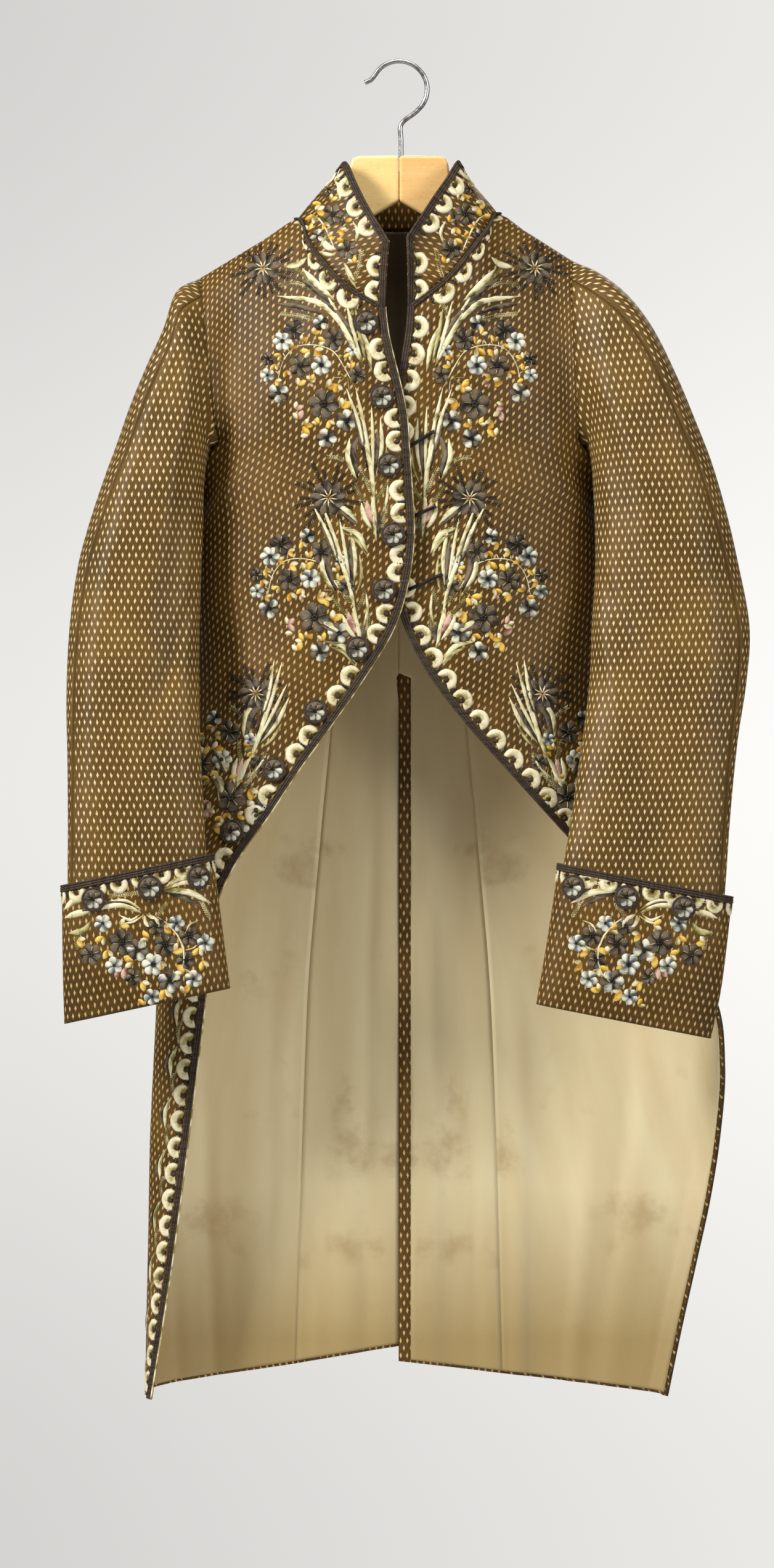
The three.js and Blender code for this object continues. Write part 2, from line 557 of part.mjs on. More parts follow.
// ---------------------------------------------------------------- walls
// A closed wall of some cells of a net, from a depth of "from" to "to" below the outer face; a depth
// under 0 is above it. Its edges stand back by half the seam gap where the net goes on, and by
// freeInset at a free edge. A corner is moved along the net's own lines, and its normal with it.
function wall(net, cells, { from, to, freeInset = 0, seamInset = SEAM_GAP / 2 }) {
  const own = new Map();
  for (const cell of cells) {
    cell.corners.forEach((i, k) => {
      const key = edgeKey(i, cell.corners[(k + 1) % 4]);
      own.set(key, own.has(key) ? null : { cell, k });
    });
  }
  const edges = [...own.values()].filter(Boolean);
  const moves = new Map();
  for (const { cell, k } of edges) {
    const [i, j, acrossJ, acrossI] = [0, 1, 2, 3].map((n) => cell.corners[(k + n) % 4]);
    const along = net.points[j].clone().sub(net.points[i]).normalize();
    const depth = net.edgeUses.get(edgeKey(i, j)) > 1 ? seamInset : freeInset;
    for (const [at, inner] of [[i, acrossI], [j, acrossJ]]) {
      const step = net.points[inner].clone().sub(net.points[at]);
      const reach = step.clone().addScaledVector(along, -step.dot(along)).length();
      if (!moves.has(at)) moves.set(at, new Map());
      moves.get(at).set(inner, depth / reach);
    }
  }
  const index = new Map();
  const positions = [];
  const place = (piece, i) => {
    if (!index.has(i)) {
      index.set(i, index.size);
      const p = net.points[i].clone();
      const normal = net.normalAt(piece, i).clone();
      for (const [inner, share] of moves.get(i) || []) {
        p.addScaledVector(net.points[inner].clone().sub(net.points[i]), share);
        normal.addScaledVector(net.normalAt(piece, inner).clone().sub(net.normalAt(piece, i)), share);
      }
      normal.normalize();
      for (const depth of [from, to]) positions.push(...p.clone().addScaledVector(normal, -depth).toArray());
    }
    return index.get(i) * 2;
  };
  const triangles = [];
  for (const { piece, corners } of cells) {
    const [a, b, c, d] = corners.map((i) => place(piece, i));
    triangles.push(a, b, c, a, c, d, a + 1, c + 1, b + 1, a + 1, d + 1, c + 1);
  }
  for (const { cell, k } of edges) {
    const a = place(cell.piece, cell.corners[k]);
    const b = place(cell.piece, cell.corners[(k + 1) % 4]);
    triangles.push(a, a + 1, b + 1, a, b + 1, b);
  }
  return solid(positions, triangles);
}

function solid(positions, triangles) {
  const geometry = new THREE.BufferGeometry();
  geometry.setAttribute("position", new THREE.Float32BufferAttribute(positions, 3));
  geometry.setIndex(triangles);
  geometry.computeVertexNormals();
  return geometry;
}

// ---------------------------------------------------------------- materials
const cloth = (color, roughness) => new THREE.MeshStandardMaterial({ color, roughness, metalness: 0 });
const FIGURED_SILK = cloth(0x6f5837, 0.55);
const LINING_SILK = cloth(0xcdbd92, 0.5);
const CHENILLE = cloth(0x3b352d, 0.9);
const BUTTON_SILK = cloth(0x56503f, 0.7);
const BEECH = cloth(0xd9a763, 0.4);
const STEEL = new THREE.MeshStandardMaterial({ color: 0xb9b9b6, roughness: 0.25, metalness: 1 });

const coat = new THREE.Group();
coat.name = "tailcoat_on_hanger";

function addPiece(name, geometry, material) {
  const mesh = new THREE.Mesh(geometry, material);
  mesh.name = name;
  coat.add(mesh);
  return mesh;
}

// ---------------------------------------------------------------- the coat
const net = new Net();
const halves = [
  { half: LEFT, sleeve: LEFT_SLEEVE, cuff: LEFT_CUFF, cuffButtons: LEFT_CUFF_BUTTONS },
  { half: RIGHT, sleeve: RIGHT_SLEEVE, cuff: RIGHT_CUFF, cuffButtons: RIGHT_CUFF_BUTTONS },
];
for (const entry of halves) {
  const bodyId = addBody(net, entry.half);
  addCollar(net, entry.half, bodyId);
  addSleeve(net, entry.half, entry.sleeve, bodyId);
  entry.bodyId = bodyId;
}
net.finish();
for (const entry of halves) {
  pushFolds(net, entry.half, entry.bodyId);
  entry.edge = Array.from({ length: HEM_ROW + 1 }, (_, row) => net.points[entry.bodyId(row, LAST_COLUMN)]);
}
net.finish();

const OUTER = { from: 0, to: CLOTH, seamInset: SEAM_GAP * 0.7 };
const INNER = { from: LINING_DEPTH, to: LINING_DEPTH + LINING, freeInset: LINING_SHORT };
const BRAID = { from: -(BRAID_CLEAR + BRAID_THICK), to: -BRAID_CLEAR, freeInset: SEAM_GAP };
const COLLAR = { from: 0, to: COLLAR_CLOTH, seamInset: SEAM_GAP };
const cellsOf = (keep) => net.quads.filter(keep);

for (const { half } of halves) {
  for (const piece of ["front", "back"]) {
    const cells = cellsOf((q) => q.piece === `${piece}_${half.side}`);
    addPiece(`${piece}_${half.side}`, wall(net, cells, OUTER), FIGURED_SILK);
    addPiece(`${piece}_lining_${half.side}`, wall(net, cells, INNER), LINING_SILK);
  }
  for (const piece of ["sleeve_front", "sleeve_back"]) {
    const cells = cellsOf((q) => q.piece === `${piece}_${half.side}`);
    addPiece(`${piece}_${half.side}`, wall(net, cells, OUTER), FIGURED_SILK);
  }
  // The front's braid follows its edge, and the collar's seam from there most of the way to the shoulder.
  const onEdge = (q) => q.column === BRAID_COLUMN || (q.row === 0 && q.column >= NECK_BRAID_START);
  const edge = cellsOf((q) => q.piece === `front_${half.side}` && onEdge(q));
  addPiece(`front_braid_${half.side}`, wall(net, edge, BRAID), CHENILLE);
}
addPiece("collar", wall(net, cellsOf((q) => q.piece === "collar"), COLLAR), FIGURED_SILK);

// The collar's braid follows its top edge and both front edges.
const onCollarEdge = (q) => q.piece === "collar" && (q.row === 0 || q.column === COLLAR_COLUMNS - 1);
addPiece("collar_braid", wall(net, cellsOf(onCollarEdge), BRAID), CHENILLE);

// ---------------------------------------------------------------- cuffs
for (const { half, cuff } of halves) {
  const tube = cuffNet(half, cuff);
  addPiece(`cuff_${half.side}`, wall(tube, tube.quads, { from: 0, to: CUFF_CLOTH }), FIGURED_SILK);
  const topRow = tube.quads.filter((q) => q.row === 0);
  addPiece(`cuff_braid_${half.side}`, wall(tube, topRow, BRAID), CHENILLE);
}

// ---------------------------------------------------------------- buttons
function buttonGeometry() {
  const { radius, rim, dome, facets } = BUTTON;
  const profile = [
    [0, 0],
    [radius - 1, 0],
    [radius, rim * 0.5],
    [radius - 0.6, rim],
    [radius * 0.62, rim + dome * 0.62],
    [0, rim + dome],
  ].map(([r, h]) => new THREE.Vector2(r, h));
  return new THREE.LatheGeometry(profile, facets);
}

// The place on a half's front that is BUTTON.fromEdge in from its edge, square to it, near a height.
function inFromEdge({ half, edge }, z) {
  let k = 0;
  while (k < edge.length - 2 && edge[k + 1].z > z) k += 1;
  const along = edge[k + 1].clone().sub(edge[k]);
  const at = edge[k].clone().addScaledVector(along, (z - edge[k].z) / along.z);
  const inward = vec(along.z, 0, -along.x).normalize().multiplyScalar(-half.out);
  return at.addScaledVector(inward, BUTTON.fromEdge);
}

// A button faces forward from where its middle meets the cloth, square to the cloth around it, and
// stands just clear of the highest cloth under its rim.
function addButton(name, clothMesh, x, z) {
  const reach = 400;
  const meet = (from, direction) => new THREE.Raycaster(from, direction).intersectObject(clothMesh)[0];
  const back = vec(0, 1, 0);
  const middle = meet(vec(x, -reach, z), back);
  const around = [0, 1, 2, 3, 4, 5, 6, 7].map((k) => {
    const angle = (k * Math.PI) / 4;
    return vec(Math.cos(angle), 0, Math.sin(angle)).multiplyScalar(BUTTON.radius);
  });
  const normal = middle.face.normal.clone();
  for (const step of around) {
    const hit = meet(vec(x, -reach, z).addScaledVector(step, 0.7), back);
    if (hit) normal.add(hit.face.normal);
  }
  normal.normalize();
  const turn = new THREE.Quaternion().setFromUnitVectors(vec(0, 1, 0), normal);
  let lift = 0;
  for (const step of around) {
    const rim = middle.point.clone().add(step.clone().applyQuaternion(turn));
    const hit = meet(rim.clone().addScaledVector(normal, reach), normal.clone().negate());
    if (hit) lift = Math.max(lift, hit.point.clone().sub(middle.point).dot(normal));
  }
  const button = addPiece(name, buttonGeometry(), BUTTON_SILK);
  button.position.copy(middle.point).addScaledVector(normal, lift + BUTTON.clear);
  button.quaternion.copy(turn);
}

const frontRight = coat.getObjectByName("front_right");
FRONT_BUTTONS.forEach((z, i) => {
  const place = inFromEdge(halves.find((entry) => entry.half === RIGHT), z);
  addButton(`front_button_${i + 1}`, frontRight, place.x, place.z);
});
for (const { half, cuff, cuffButtons } of halves) {
  const [top] = cuff;
  cuffButtons.forEach((out, i) => {
    const share = (out - top.inner[0]) / (top.outer[0] - top.inner[0]);
    const z = mix(top.inner[1], top.outer[1], share) - BUTTON.fromEdge;
    const cuffMesh = coat.getObjectByName(`cuff_${half.side}`);
    addButton(`cuff_button_${half.side}_${i + 1}`, cuffMesh, out * half.out, z);
  });
}

// ---------------------------------------------------------------- hanger
function hangerArm(out) {
  const { halfWidth, top, corner } = HANGER_HEAD;
  const { apex, slope, tip, tipTop } = HANGER_ARM;
  const inset = HANGER.bevel;
  const tipBottom = apex - slope * tip;
  const shape = new THREE.Shape();
  shape.moveTo(HANGER.mitreGap + inset, top - inset);
  shape.lineTo(halfWidth - corner, top - inset);
  shape.quadraticCurveTo(halfWidth - inset, top - inset, halfWidth - inset + 0.5, top - corner - inset);
  const neck = HANGER_NECK.map(([x, z]) => new THREE.Vector2(x - 1, z - inset));
  shape.splineThru([...neck, new THREE.Vector2(tip - 8, tipTop - inset + 4)]);
  shape.quadraticCurveTo(tip + 2, tipTop - 2, tip, (tipTop + tipBottom) / 2);
  shape.quadraticCurveTo(tip - 2, tipBottom + 3, tip - 10, apex - slope * (tip - 10) + inset);
  shape.lineTo(HANGER.mitreGap + inset, apex + inset);
  shape.closePath();
  const geometry = new THREE.ExtrudeGeometry(shape, {
    depth: HANGER.thick - 2 * inset,
    bevelThickness: inset,
    bevelSize: inset,
    bevelSegments: 1,
    curveSegments: 5,
  });
  geometry.translate(0, 0, -(HANGER.thick / 2 - inset));
  const p = geometry.getAttribute("position");
  for (let i = 0; i < p.count; i += 1) {
    const x = p.getX(i);
    p.setXYZ(i, x * out, HANGER.sweep * x - p.getZ(i), p.getY(i));
  }
  geometry.deleteAttribute("uv");
  geometry.deleteAttribute("normal");
  if (out < 0) {
    for (let i = 0; i < p.count; i += 3) {
      const a = vec(0, 0, 0).fromBufferAttribute(p, i + 1);
      const b = vec(0, 0, 0).fromBufferAttribute(p, i + 2);
      p.setXYZ(i + 1, b.x, b.y, b.z);
      p.setXYZ(i + 2, a.x, a.y, a.z);
    }
  }
  return geometry;
}
addPiece("hanger_arm_left", hangerArm(1), BEECH);
addPiece("hanger_arm_right", hangerArm(-1), BEECH);

// The hook: a straight stem, a bend to the right, and a round bow that ends in an outward curl.
function hookGeometry() {
  const { wire, radius, stemX, stemTop, fromAngle, toAngle } = HOOK;
  const centreZ = -(radius - wire / 2); // so that the bow's inside top is the origin
  const foot = HANGER_HEAD.top + SEAM_GAP;
  const points = [vec(stemX, 0, foot), vec(stemX, 0, mix(foot, stemTop, 0.5)), vec(stemX, 0, stemTop)];
  const round = (degrees, r = radius) => {
    const a = THREE.MathUtils.degToRad(degrees);
    return vec(r * Math.cos(a), 0, centreZ + r * Math.sin(a));
  };
  const arcSteps = 9;
  for (let i = 0; i <= arcSteps; i += 1) points.push(round(mix(fromAngle, toAngle, i / arcSteps)));
  for (const { turn, out } of HOOK_CURL) points.push(round(toAngle + turn, radius + out));
  const path = new THREE.CatmullRomCurve3(points, false, "centripetal");
  const section = new THREE.Shape();
  section.absarc(0, 0, wire / 2, 0, 2 * Math.PI);
  return new THREE.ExtrudeGeometry(section, { steps: HOOK_STEPS, extrudePath: path, curveSegments: 8 });
}
addPiece("hook", hookGeometry(), STEEL);

export default coat;
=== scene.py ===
import math
import random

import bmesh
import bpy
import numpy as np
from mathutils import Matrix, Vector
from mathutils.bvhtree import BVHTree


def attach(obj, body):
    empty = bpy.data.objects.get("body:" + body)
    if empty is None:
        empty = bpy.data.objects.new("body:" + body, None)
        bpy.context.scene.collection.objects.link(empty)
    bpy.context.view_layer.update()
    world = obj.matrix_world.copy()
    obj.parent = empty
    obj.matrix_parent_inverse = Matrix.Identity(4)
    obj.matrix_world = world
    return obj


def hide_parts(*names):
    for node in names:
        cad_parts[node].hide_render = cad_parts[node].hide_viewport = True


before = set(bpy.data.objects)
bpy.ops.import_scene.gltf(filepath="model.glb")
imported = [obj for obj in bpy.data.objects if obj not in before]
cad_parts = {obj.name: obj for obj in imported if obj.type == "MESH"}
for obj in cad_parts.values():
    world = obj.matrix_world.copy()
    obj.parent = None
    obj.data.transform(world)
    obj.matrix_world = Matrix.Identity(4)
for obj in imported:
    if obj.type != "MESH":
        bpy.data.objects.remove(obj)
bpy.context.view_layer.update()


# ---------------------------------------------------------------- the cut of the coat
# Two fronts, two backs with tails, a standing collar and two-piece sleeves, sewn together by hand. The
# body is a net of 26 rows and 17 columns for each half, from the centre back to the front edge. Rows 0
# to 7 run from the shoulder seam to the chest line, and rows 19 to 25 are the tails.
# height | out and depth of: centre back, back, side back, side, side front, front, edge
LEFT_BODY = (
    (-350, 0, 62, 90, 66, 151, 48, 168, 6, 156, -36, 88, -56, -7, -56),
    (-395, 0, 59, 89, 64, 151, 50, 182, 22, 159, -30, 88, -56.5, -9.5, -56.3),
    (-430, 0, 56, 88, 62, 152, 49, 187, 26, 162, -25, 88, -57, -11, -56.5),
    (-505, 0, 50, 86, 58, 153, 47, 189, 27, 164, -22, 92, -55, 1, -57.5),
    (-570, 0, 48, 88, 58, 155, 48, 188, 27, 170, -16, 112, -51, 34, -59),
    (-640, 0, 48, 92, 60, 159, 52, 188, 26, 186, -6, 152, -34, 93, -52),
    (-706, 0, 50, 98, 62, 174, 56, 206, 38, 213, 12, 195, -18, 153, -40),
    (-780, 0, 50, 104, 62, 188, 57, 226, 46, 248, 26, 248, 0, 221, -24),
    (-857, 0, 50, 108, 60, 194, 56, 238, 48, 266, 36, 282, 20, 289, 2),
    (-945, 0, 46, 106, 54, 188, 51, 234, 46, 264, 37, 283, 24, 296, 10),
    (-1040, 0, 42, 102, 49, 180, 48, 223, 44, 252, 37, 271, 28, 284.5, 18),
    (-1133, 0, 39, 96, 45, 168, 45, 208, 42, 235, 37, 252, 30, 264, 22),
    (-1221, 0, 37, 90, 42, 157, 42, 194, 40, 219, 36, 235, 30, 246, 24),
)
RIGHT_BODY = (
    (-350, 0, 62, 90, 66, 151, 48, 168, 6, 156, -36, 88, -58, -8, -65.5),
    (-395, 0, 59, 89, 64, 151, 50, 182, 22, 159, -30, 88, -59, -11, -66),
    (-430, 0, 56, 88, 62, 152, 49, 188, 26, 162, -25, 88, -60, -13, -66.5),
    (-505, 0, 50, 86, 58, 153, 47, 191, 27, 165, -22, 92, -58, 0, -66),
    (-570, 0, 48, 88, 58, 156, 48, 193, 27, 170, -16, 114, -52, 37, -62),
    (-640, 0, 48, 92, 60, 161, 52, 192, 27, 181, -8, 146, -38, 87, -56),
    (-706, 0, 50, 98, 62, 170, 56, 206, 32, 204, -4, 176, -34, 131, -48),
    (-757, 0, 50, 100, 62, 176, 56, 213, 34, 215, -2, 195, -30, 164, -42),
    (-869, 0, 49, 100, 60, 178, 54, 216, 34, 222, 2, 206, -24, 178, -36),
    (-980, 0, 45, 98, 56, 174, 52, 216, 36, 228, 8, 216, -12, 192, -24),
    (-1100, 0, 41, 96, 50, 172, 49, 215, 36, 231, 14, 226, -4, 208, -16),
    (-1221, 0, 38, 94, 45, 170, 46, 212, 37, 232, 21, 234, 4, 227, -8),
)
# height | the side-back seam's place, as cloth measured out from the centre back
SIDE_BACK_SEAM = (
    (-350, 168), (-400, 122), (-448, 88), (-505, 65), (-570, 61), (-700, 72), (-860, 85), (-1221, 96),
)
# The large folds of the drape: top and bottom height, net column, reach in columns, how far it stands out
LEFT_FOLDS = (
    (-215, -470, 9.2, 1.5, -5), (-560, -900, 10.6, 1.7, 4), (-800, -1500, 8.4, 1.8, 4.5),
    (-840, -1500, 12.2, 1.7, -4), (-700, -1500, 3.4, 1.8, 3.5), (-350, -425, 7.2, 2.2, 13),
)
RIGHT_FOLDS = (
    (-215, -450, 9.1, 1.5, -5), (-560, -820, 10.4, 1.6, 4), (-720, -1500, 8.2, 1.7, -4.5),
    (-760, -1500, 3.2, 1.8, -3.5), (-350, -425, 7.2, 2.2, 13),
)
# The smaller creases on top of them, in the same columns
LEFT_CREASES = (
    (-346, -402, 7.2, 2.0, 10),
    (-200, -330, 10.4, 0.8, 1.6), (-230, -420, 8.7, 0.5, -1.8), (-330, -520, 9.9, 0.6, 1.6),
    (-300, -560, 12.6, 0.9, 1.2), (-420, -640, 11.4, 0.7, -1.2), (-260, -440, 13.6, 0.8, 0.9),
    (-620, -980, 13.8, 0.8, 1.6), (-700, -1180, 11.2, 0.7, 1.8), (-860, -1500, 14.3, 0.7, 1.7),
    (-900, -1500, 9.9, 0.7, -1.7), (-760, -1500, 6.9, 0.6, -1.6), (-880, -1500, 4.6, 0.7, 1.7),
    (-640, -1200, 2.0, 0.8, -1.5), (-300, -520, 4.2, 0.8, 1.5), (-260, -600, 2.2, 0.7, -1.2),
)
RIGHT_CREASES = (
    (-346, -402, 7.2, 2.0, 10),
    (-210, -340, 10.5, 0.8, 1.5), (-230, -430, 8.6, 0.5, -1.8), (-350, -540, 9.8, 0.6, 1.7),
    (-320, -540, 12.4, 0.9, 1.1), (-450, -650, 11.6, 0.7, -1.3), (-270, -420, 13.8, 0.8, 0.9),
    (-640, -900, 13.4, 0.8, -1.5), (-740, -1500, 11.8, 0.8, 2.0), (-900, -1500, 14.2, 0.7, -1.6),
    (-820, -1500, 9.9, 0.6, 1.6), (-700, -1500, 6.8, 0.6, -1.6), (-880, -1500, 4.8, 0.7, -1.6),
    (-620, -1300, 1.9, 0.8, 1.6), (-320, -560, 4.3, 0.8, -1.4), (-260, -540, 2.0, 0.7, 1.1),
)
LEFT = {
    "side": "left",
    "out": 1,
    "body": LEFT_BODY,
    "folds": LEFT_FOLDS,
    "creases": LEFT_CREASES,
    "back_neck": ((0, 50, -150), (36, 46, -148), (68, 30, -143), (90.6, 6, -137)),
    "shoulder": (160, 14, -180),
    "neckline": ((90.6, 6, -137), (74.3, -33, -160), (44, -53, -198), (8.2, -55, -226)),
    "armhole_front": {"chest": (-6, -30, 34), "top": (-5, -46, -14)},
    "armhole_back": {"chest": (-6, 20, 40), "top": (-6, 36, -10)},
    "collar_top": (
        (0, 39, -96), (25, 37, -96), (45, 27, -97), (55, 6, -97.5), (53, -15, -91),
        (43, -30, -108), (31, -42, -126), (19, -51, -145), (7.3, -58, -163),
    ),
    "hem": (-1190, -1221),
}
RIGHT = {
    "side": "right",
    "out": -1,
    "body": RIGHT_BODY,
    "folds": RIGHT_FOLDS,
    "creases": RIGHT_CREASES,
    "back_neck": ((0, 50, -150), (36, 46, -149), (70, 30, -146), (93, 6, -142)),
    "shoulder": (182, 16, -195),
    "neckline": ((93, 6, -142), (76.7, -32, -172.5), (47, -54, -206), (13, -59, -227)),
    "armhole_front": {"chest": (4, -32, 30), "top": (-3, -48, -14)},
    "armhole_back": {"chest": (-6, 20, 40), "top": (-8, 36, -10)},
    "collar_top": (
        (0, 39, -96), (25, 37, -96), (45, 27, -97), (54, 6, -98), (48, -15, -92),
        (39, -30, -112), (30, -42, -131), (20, -52, -149), (9.7, -60, -167),
    ),
    "hem": (-1176, -1221),
}
CHEST, HIP, VENT_TOP = -350, -857, -560
SEAM_LAP = 0.3  # how far each back passes the middle, so that no light shows through the seam
VENT_LAP = (50, 3.6, 5.0)  # how far down the lap opens, and how far over and back it then reaches
BRAID_WIDTH = 6
YOKE_SHARES = (0, 0.05, 0.2, 0.36, 0.53, 0.69, 0.85, 1)
CHEST_ROW, HIP_ROW, HEM_ROW = 7, 19, 25
BACK_ARMHOLE, SEAM_COLUMN, FRONT_ARMHOLE, EDGE_COLUMN = 6, 7, 8, 16
SHOULDER_COLUMNS = 3  # the rest of each panel's top follows the neck
CELL = 5  # size of the finished mesh


def hermite(knots, values, at):
    """A smooth curve through values at rising knots, read at the places in at."""
    knots, values = np.asarray(knots, float), np.asarray(values, float)
    at = np.clip(np.atleast_1d(np.asarray(at, float)), knots[0], knots[-1])
    wide = (slice(None),) + (None,) * (values.ndim - 1)
    last = len(knots) - 1
    before = np.maximum(np.arange(last + 1) - 1, 0)
    after = np.minimum(np.arange(last + 1) + 1, last)
    slope = (values[after] - values[before]) / (knots[after] - knots[before])[wide]
    cell = np.clip(np.searchsorted(knots, at, side="right") - 1, 0, last - 1)
    span = (knots[cell + 1] - knots[cell])[wide]
    t = (at[wide] - knots[cell][wide]) / span
    ends = (2 * t**3 - 3 * t**2 + 1) * values[cell] + (3 * t**2 - 2 * t**3) * values[cell + 1]
    return ends + span * ((t**3 - 2 * t**2 + t) * slope[cell] + (t**3 - t**2) * slope[cell + 1])


def lengths(points):
    """How far along a line of points each one is."""
    steps = np.linalg.norm(np.diff(np.asarray(points, float), axis=0), axis=1)
    return np.concatenate([[0], np.cumsum(steps)])


def curve(points, out=1):
    """A smooth line through a few points, as many short steps, and how far along it each one is."""
    p = np.asarray(points, float) * (out, 1, 1)
    p = np.vstack([2 * p[0] - p[1], p, 2 * p[-1] - p[-2]])
    line = []
    t = np.linspace(0, 1, 24, endpoint=False)[:, None]
    for a, b, c, d in zip(p, p[1:], p[2:], p[3:]):
        ab, bc, cd = (np.linalg.norm(q - r) ** 0.5 for q, r in ((b, a), (c, b), (d, c)))
        leave = ((b - a) / ab - (c - a) / (ab + bc) + (c - b) / bc) * bc
        arrive = ((c - b) / bc - (d - b) / (bc + cd) + (d - c) / cd) * bc
        line.append(
            (2 * t**3 - 3 * t**2 + 1) * b + (3 * t**2 - 2 * t**3) * c
            + (t**3 - 2 * t**2 + t) * leave + (t**3 - t**2) * arrive
        )
    line = np.vstack([*line, p[-2]])
    return line, lengths(line)


def read_at(line, along, places):
    """Points of a line at these distances along it."""
    return np.stack([np.interp(places, along, line[:, k]) for k in range(line.shape[1])], -1)


def body_row(half, height):
    """The 17 net points of one height, from the centre back to the front edge."""
    table, seams = np.array(half["body"], float), np.array(SIDE_BACK_SEAM, float)
    pairs = hermite(-table[:, 0], table[:, 1:], -height)[0].reshape(7, 2)
    line, along = curve([(x, y, height) for x, y in pairs], half["out"])
    seam = hermite(-seams[:, 0], seams[:, 1], -height)[0]
    back = np.linspace(0, seam, BACK_ARMHOLE, endpoint=False)
    front = np.linspace(seam, along[-1] - BRAID_WIDTH, EDGE_COLUMN - BACK_ARMHOLE)
    places = np.concatenate([back, front, along[-1:]])
    return read_at(line, along, places)


def column_top(half, column):
    """Where a net column ends at the shoulder or the neckline, and how it leaves that end."""
    flip = np.array((half["out"], 1, 1))
    is_front = column >= FRONT_ARMHOLE
    line, along = curve(half["neckline"] if is_front else half["back_neck"][::-1], half["out"])
    from_armhole = column - FRONT_ARMHOLE if is_front else BACK_ARMHOLE - column
    shoulder_lean = np.array((0, -32, -4) if is_front else (0, 30, -4)) * flip
    neck_lean = np.array((0, -3, -36) if is_front else (0, 6, -30)) * flip
    armhole = half["armhole_front" if is_front else "armhole_back"]
    if from_armhole <= SHOULDER_COLUMNS:
        shoulder = np.array(half["shoulder"]) * flip
        point = shoulder + (line[0] - shoulder) * from_armhole / SHOULDER_COLUMNS
        return point, np.array(armhole["top"]) * flip if from_armhole == 0 else shoulder_lean
    neck_span = 5 if is_front else 3
    t = (from_armhole - SHOULDER_COLUMNS) / neck_span
    if is_front and column < EDGE_COLUMN:
        t *= (1 - BRAID_WIDTH / along[-1]) * neck_span / (neck_span - 1)
    return read_at(line, along, [t * along[-1]])[0], shoulder_lean * (1 - t) + neck_lean * t


def body_net(half):
    """The half body's net, 26 rows by 17 columns, with its large folds."""
    flip = np.array((half["out"], 1, 1))
    net = np.full((HEM_ROW + 1, EDGE_COLUMN + 1, 3), np.nan)
    for row in range(CHEST_ROW, HIP_ROW + 1):
        net[row] = body_row(half, CHEST + (HIP - CHEST) * (row - CHEST_ROW) / (HIP_ROW - CHEST_ROW))
    for column in range(EDGE_COLUMN + 1):
        hem = half["hem"][0] + (half["hem"][1] - half["hem"][0]) * column / EDGE_COLUMN
        for row in range(HIP_ROW + 1, HEM_ROW + 1):
            height = HIP + (hem - HIP) * (row - HIP_ROW) / (HEM_ROW - HIP_ROW)
            net[row, column] = body_row(half, height)[column]
        if column == SEAM_COLUMN:
            continue
        top, lean = column_top(half, column)
        chest = net[CHEST_ROW, column]
        rise = np.array((0, 0, (top[2] - CHEST) * 0.36))
        if column in (BACK_ARMHOLE, FRONT_ARMHOLE):
            armhole = half["armhole_front" if column == FRONT_ARMHOLE else "armhole_back"]
            rise = np.array(armhole["chest"]) * flip
        for row in range(CHEST_ROW):
            t = YOKE_SHARES[row]
            net[row, column] = (
                (1 - t) ** 3 * top + 3 * (1 - t) ** 2 * t * (top + lean)
                + 3 * (1 - t) * t**2 * (chest + rise) + t**3 * chest
            )
    for row in range(CHEST_ROW - 1, -1, -1):
        net[row, SEAM_COLUMN] = 2 * net[row + 1, SEAM_COLUMN] - net[row + 2, SEAM_COLUMN]
    net[:, 0, 0] = -SEAM_LAP * half["out"]
    if half["side"] == "right":  # its vent edge passes a little way behind the left tail's
        opens, over, behind = VENT_LAP
        below = np.clip((VENT_TOP - net[:, 0, 2]) / opens, 0, 1)
        net[:, 0, 0] += over * below
        net[:, 0, 1] += behind * np.clip(3 * below, 0, 1)
    columns = np.broadcast_to(np.arange(EDGE_COLUMN + 1.0), net.shape[:2])
    push = fold_push(half["folds"], net[..., 2], columns)
    push[0], push[:, 0] = 0, 0
    push[:CHEST_ROW, BACK_ARMHOLE : FRONT_ARMHOLE + 1] = 0
    return net + normals_of(net, half["out"]) * push[..., None]


def fold_push(folds, height, column):
    """How far the folds push each point out of the plain form."""
    push = np.zeros_like(height)
    for top, bottom, middle, reach, depth in folds:
        across = np.clip(np.abs(column - middle) / reach, 0, 1)
        along = np.clip((top - height) / (top - bottom), 0, 1)
        rise = np.minimum(np.minimum(along, 1 - along), 0.3) / 0.3
        push += depth * np.cos(across * math.pi / 2) ** 2 * np.sin(rise * math.pi / 2) ** 2
    return push


def normals_of(grid, out):
    """Outward normals of a grid whose rows go down and columns go round from the back by the side."""
    down = np.gradient(grid, axis=0)
    across = np.gradient(grid, axis=1)
    normal = np.cross(across, down) * out
    size = np.linalg.norm(normal, axis=-1, keepdims=True)
    return normal / np.maximum(size, 1e-9)


def cell_steps(grid, axis):
    """Mesh cells for each net cell along an axis, and the net's knots on it."""
    size = np.nanmean(np.linalg.norm(np.diff(grid, axis=axis), axis=2), axis=1 - axis)
    return [max(1, round(s / CELL)) for s in size], np.concatenate([[0], np.cumsum(size)])


def fine_knots(knots, steps):
    """The knots with so many even steps in each of their spans."""
    spans = [np.linspace(a, b, n, endpoint=False) for a, b, n in zip(knots, knots[1:], steps)]
    return np.concatenate([*spans, knots[-1:]])


def refine(grid, rows, columns):
    """The grid made finer. rows and columns are (steps for each cell, knots)."""
    down = hermite(rows[1], grid, fine_knots(rows[1], rows[0]))
    across = hermite(columns[1], np.swapaxes(down, 0, 1), fine_knots(columns[1], columns[0]))
    return np.swapaxes(across, 0, 1)


def unit(vectors):
    """The vectors, each made one long."""
    return vectors / np.maximum(np.linalg.norm(vectors, axis=-1, keepdims=True), 1e-9)


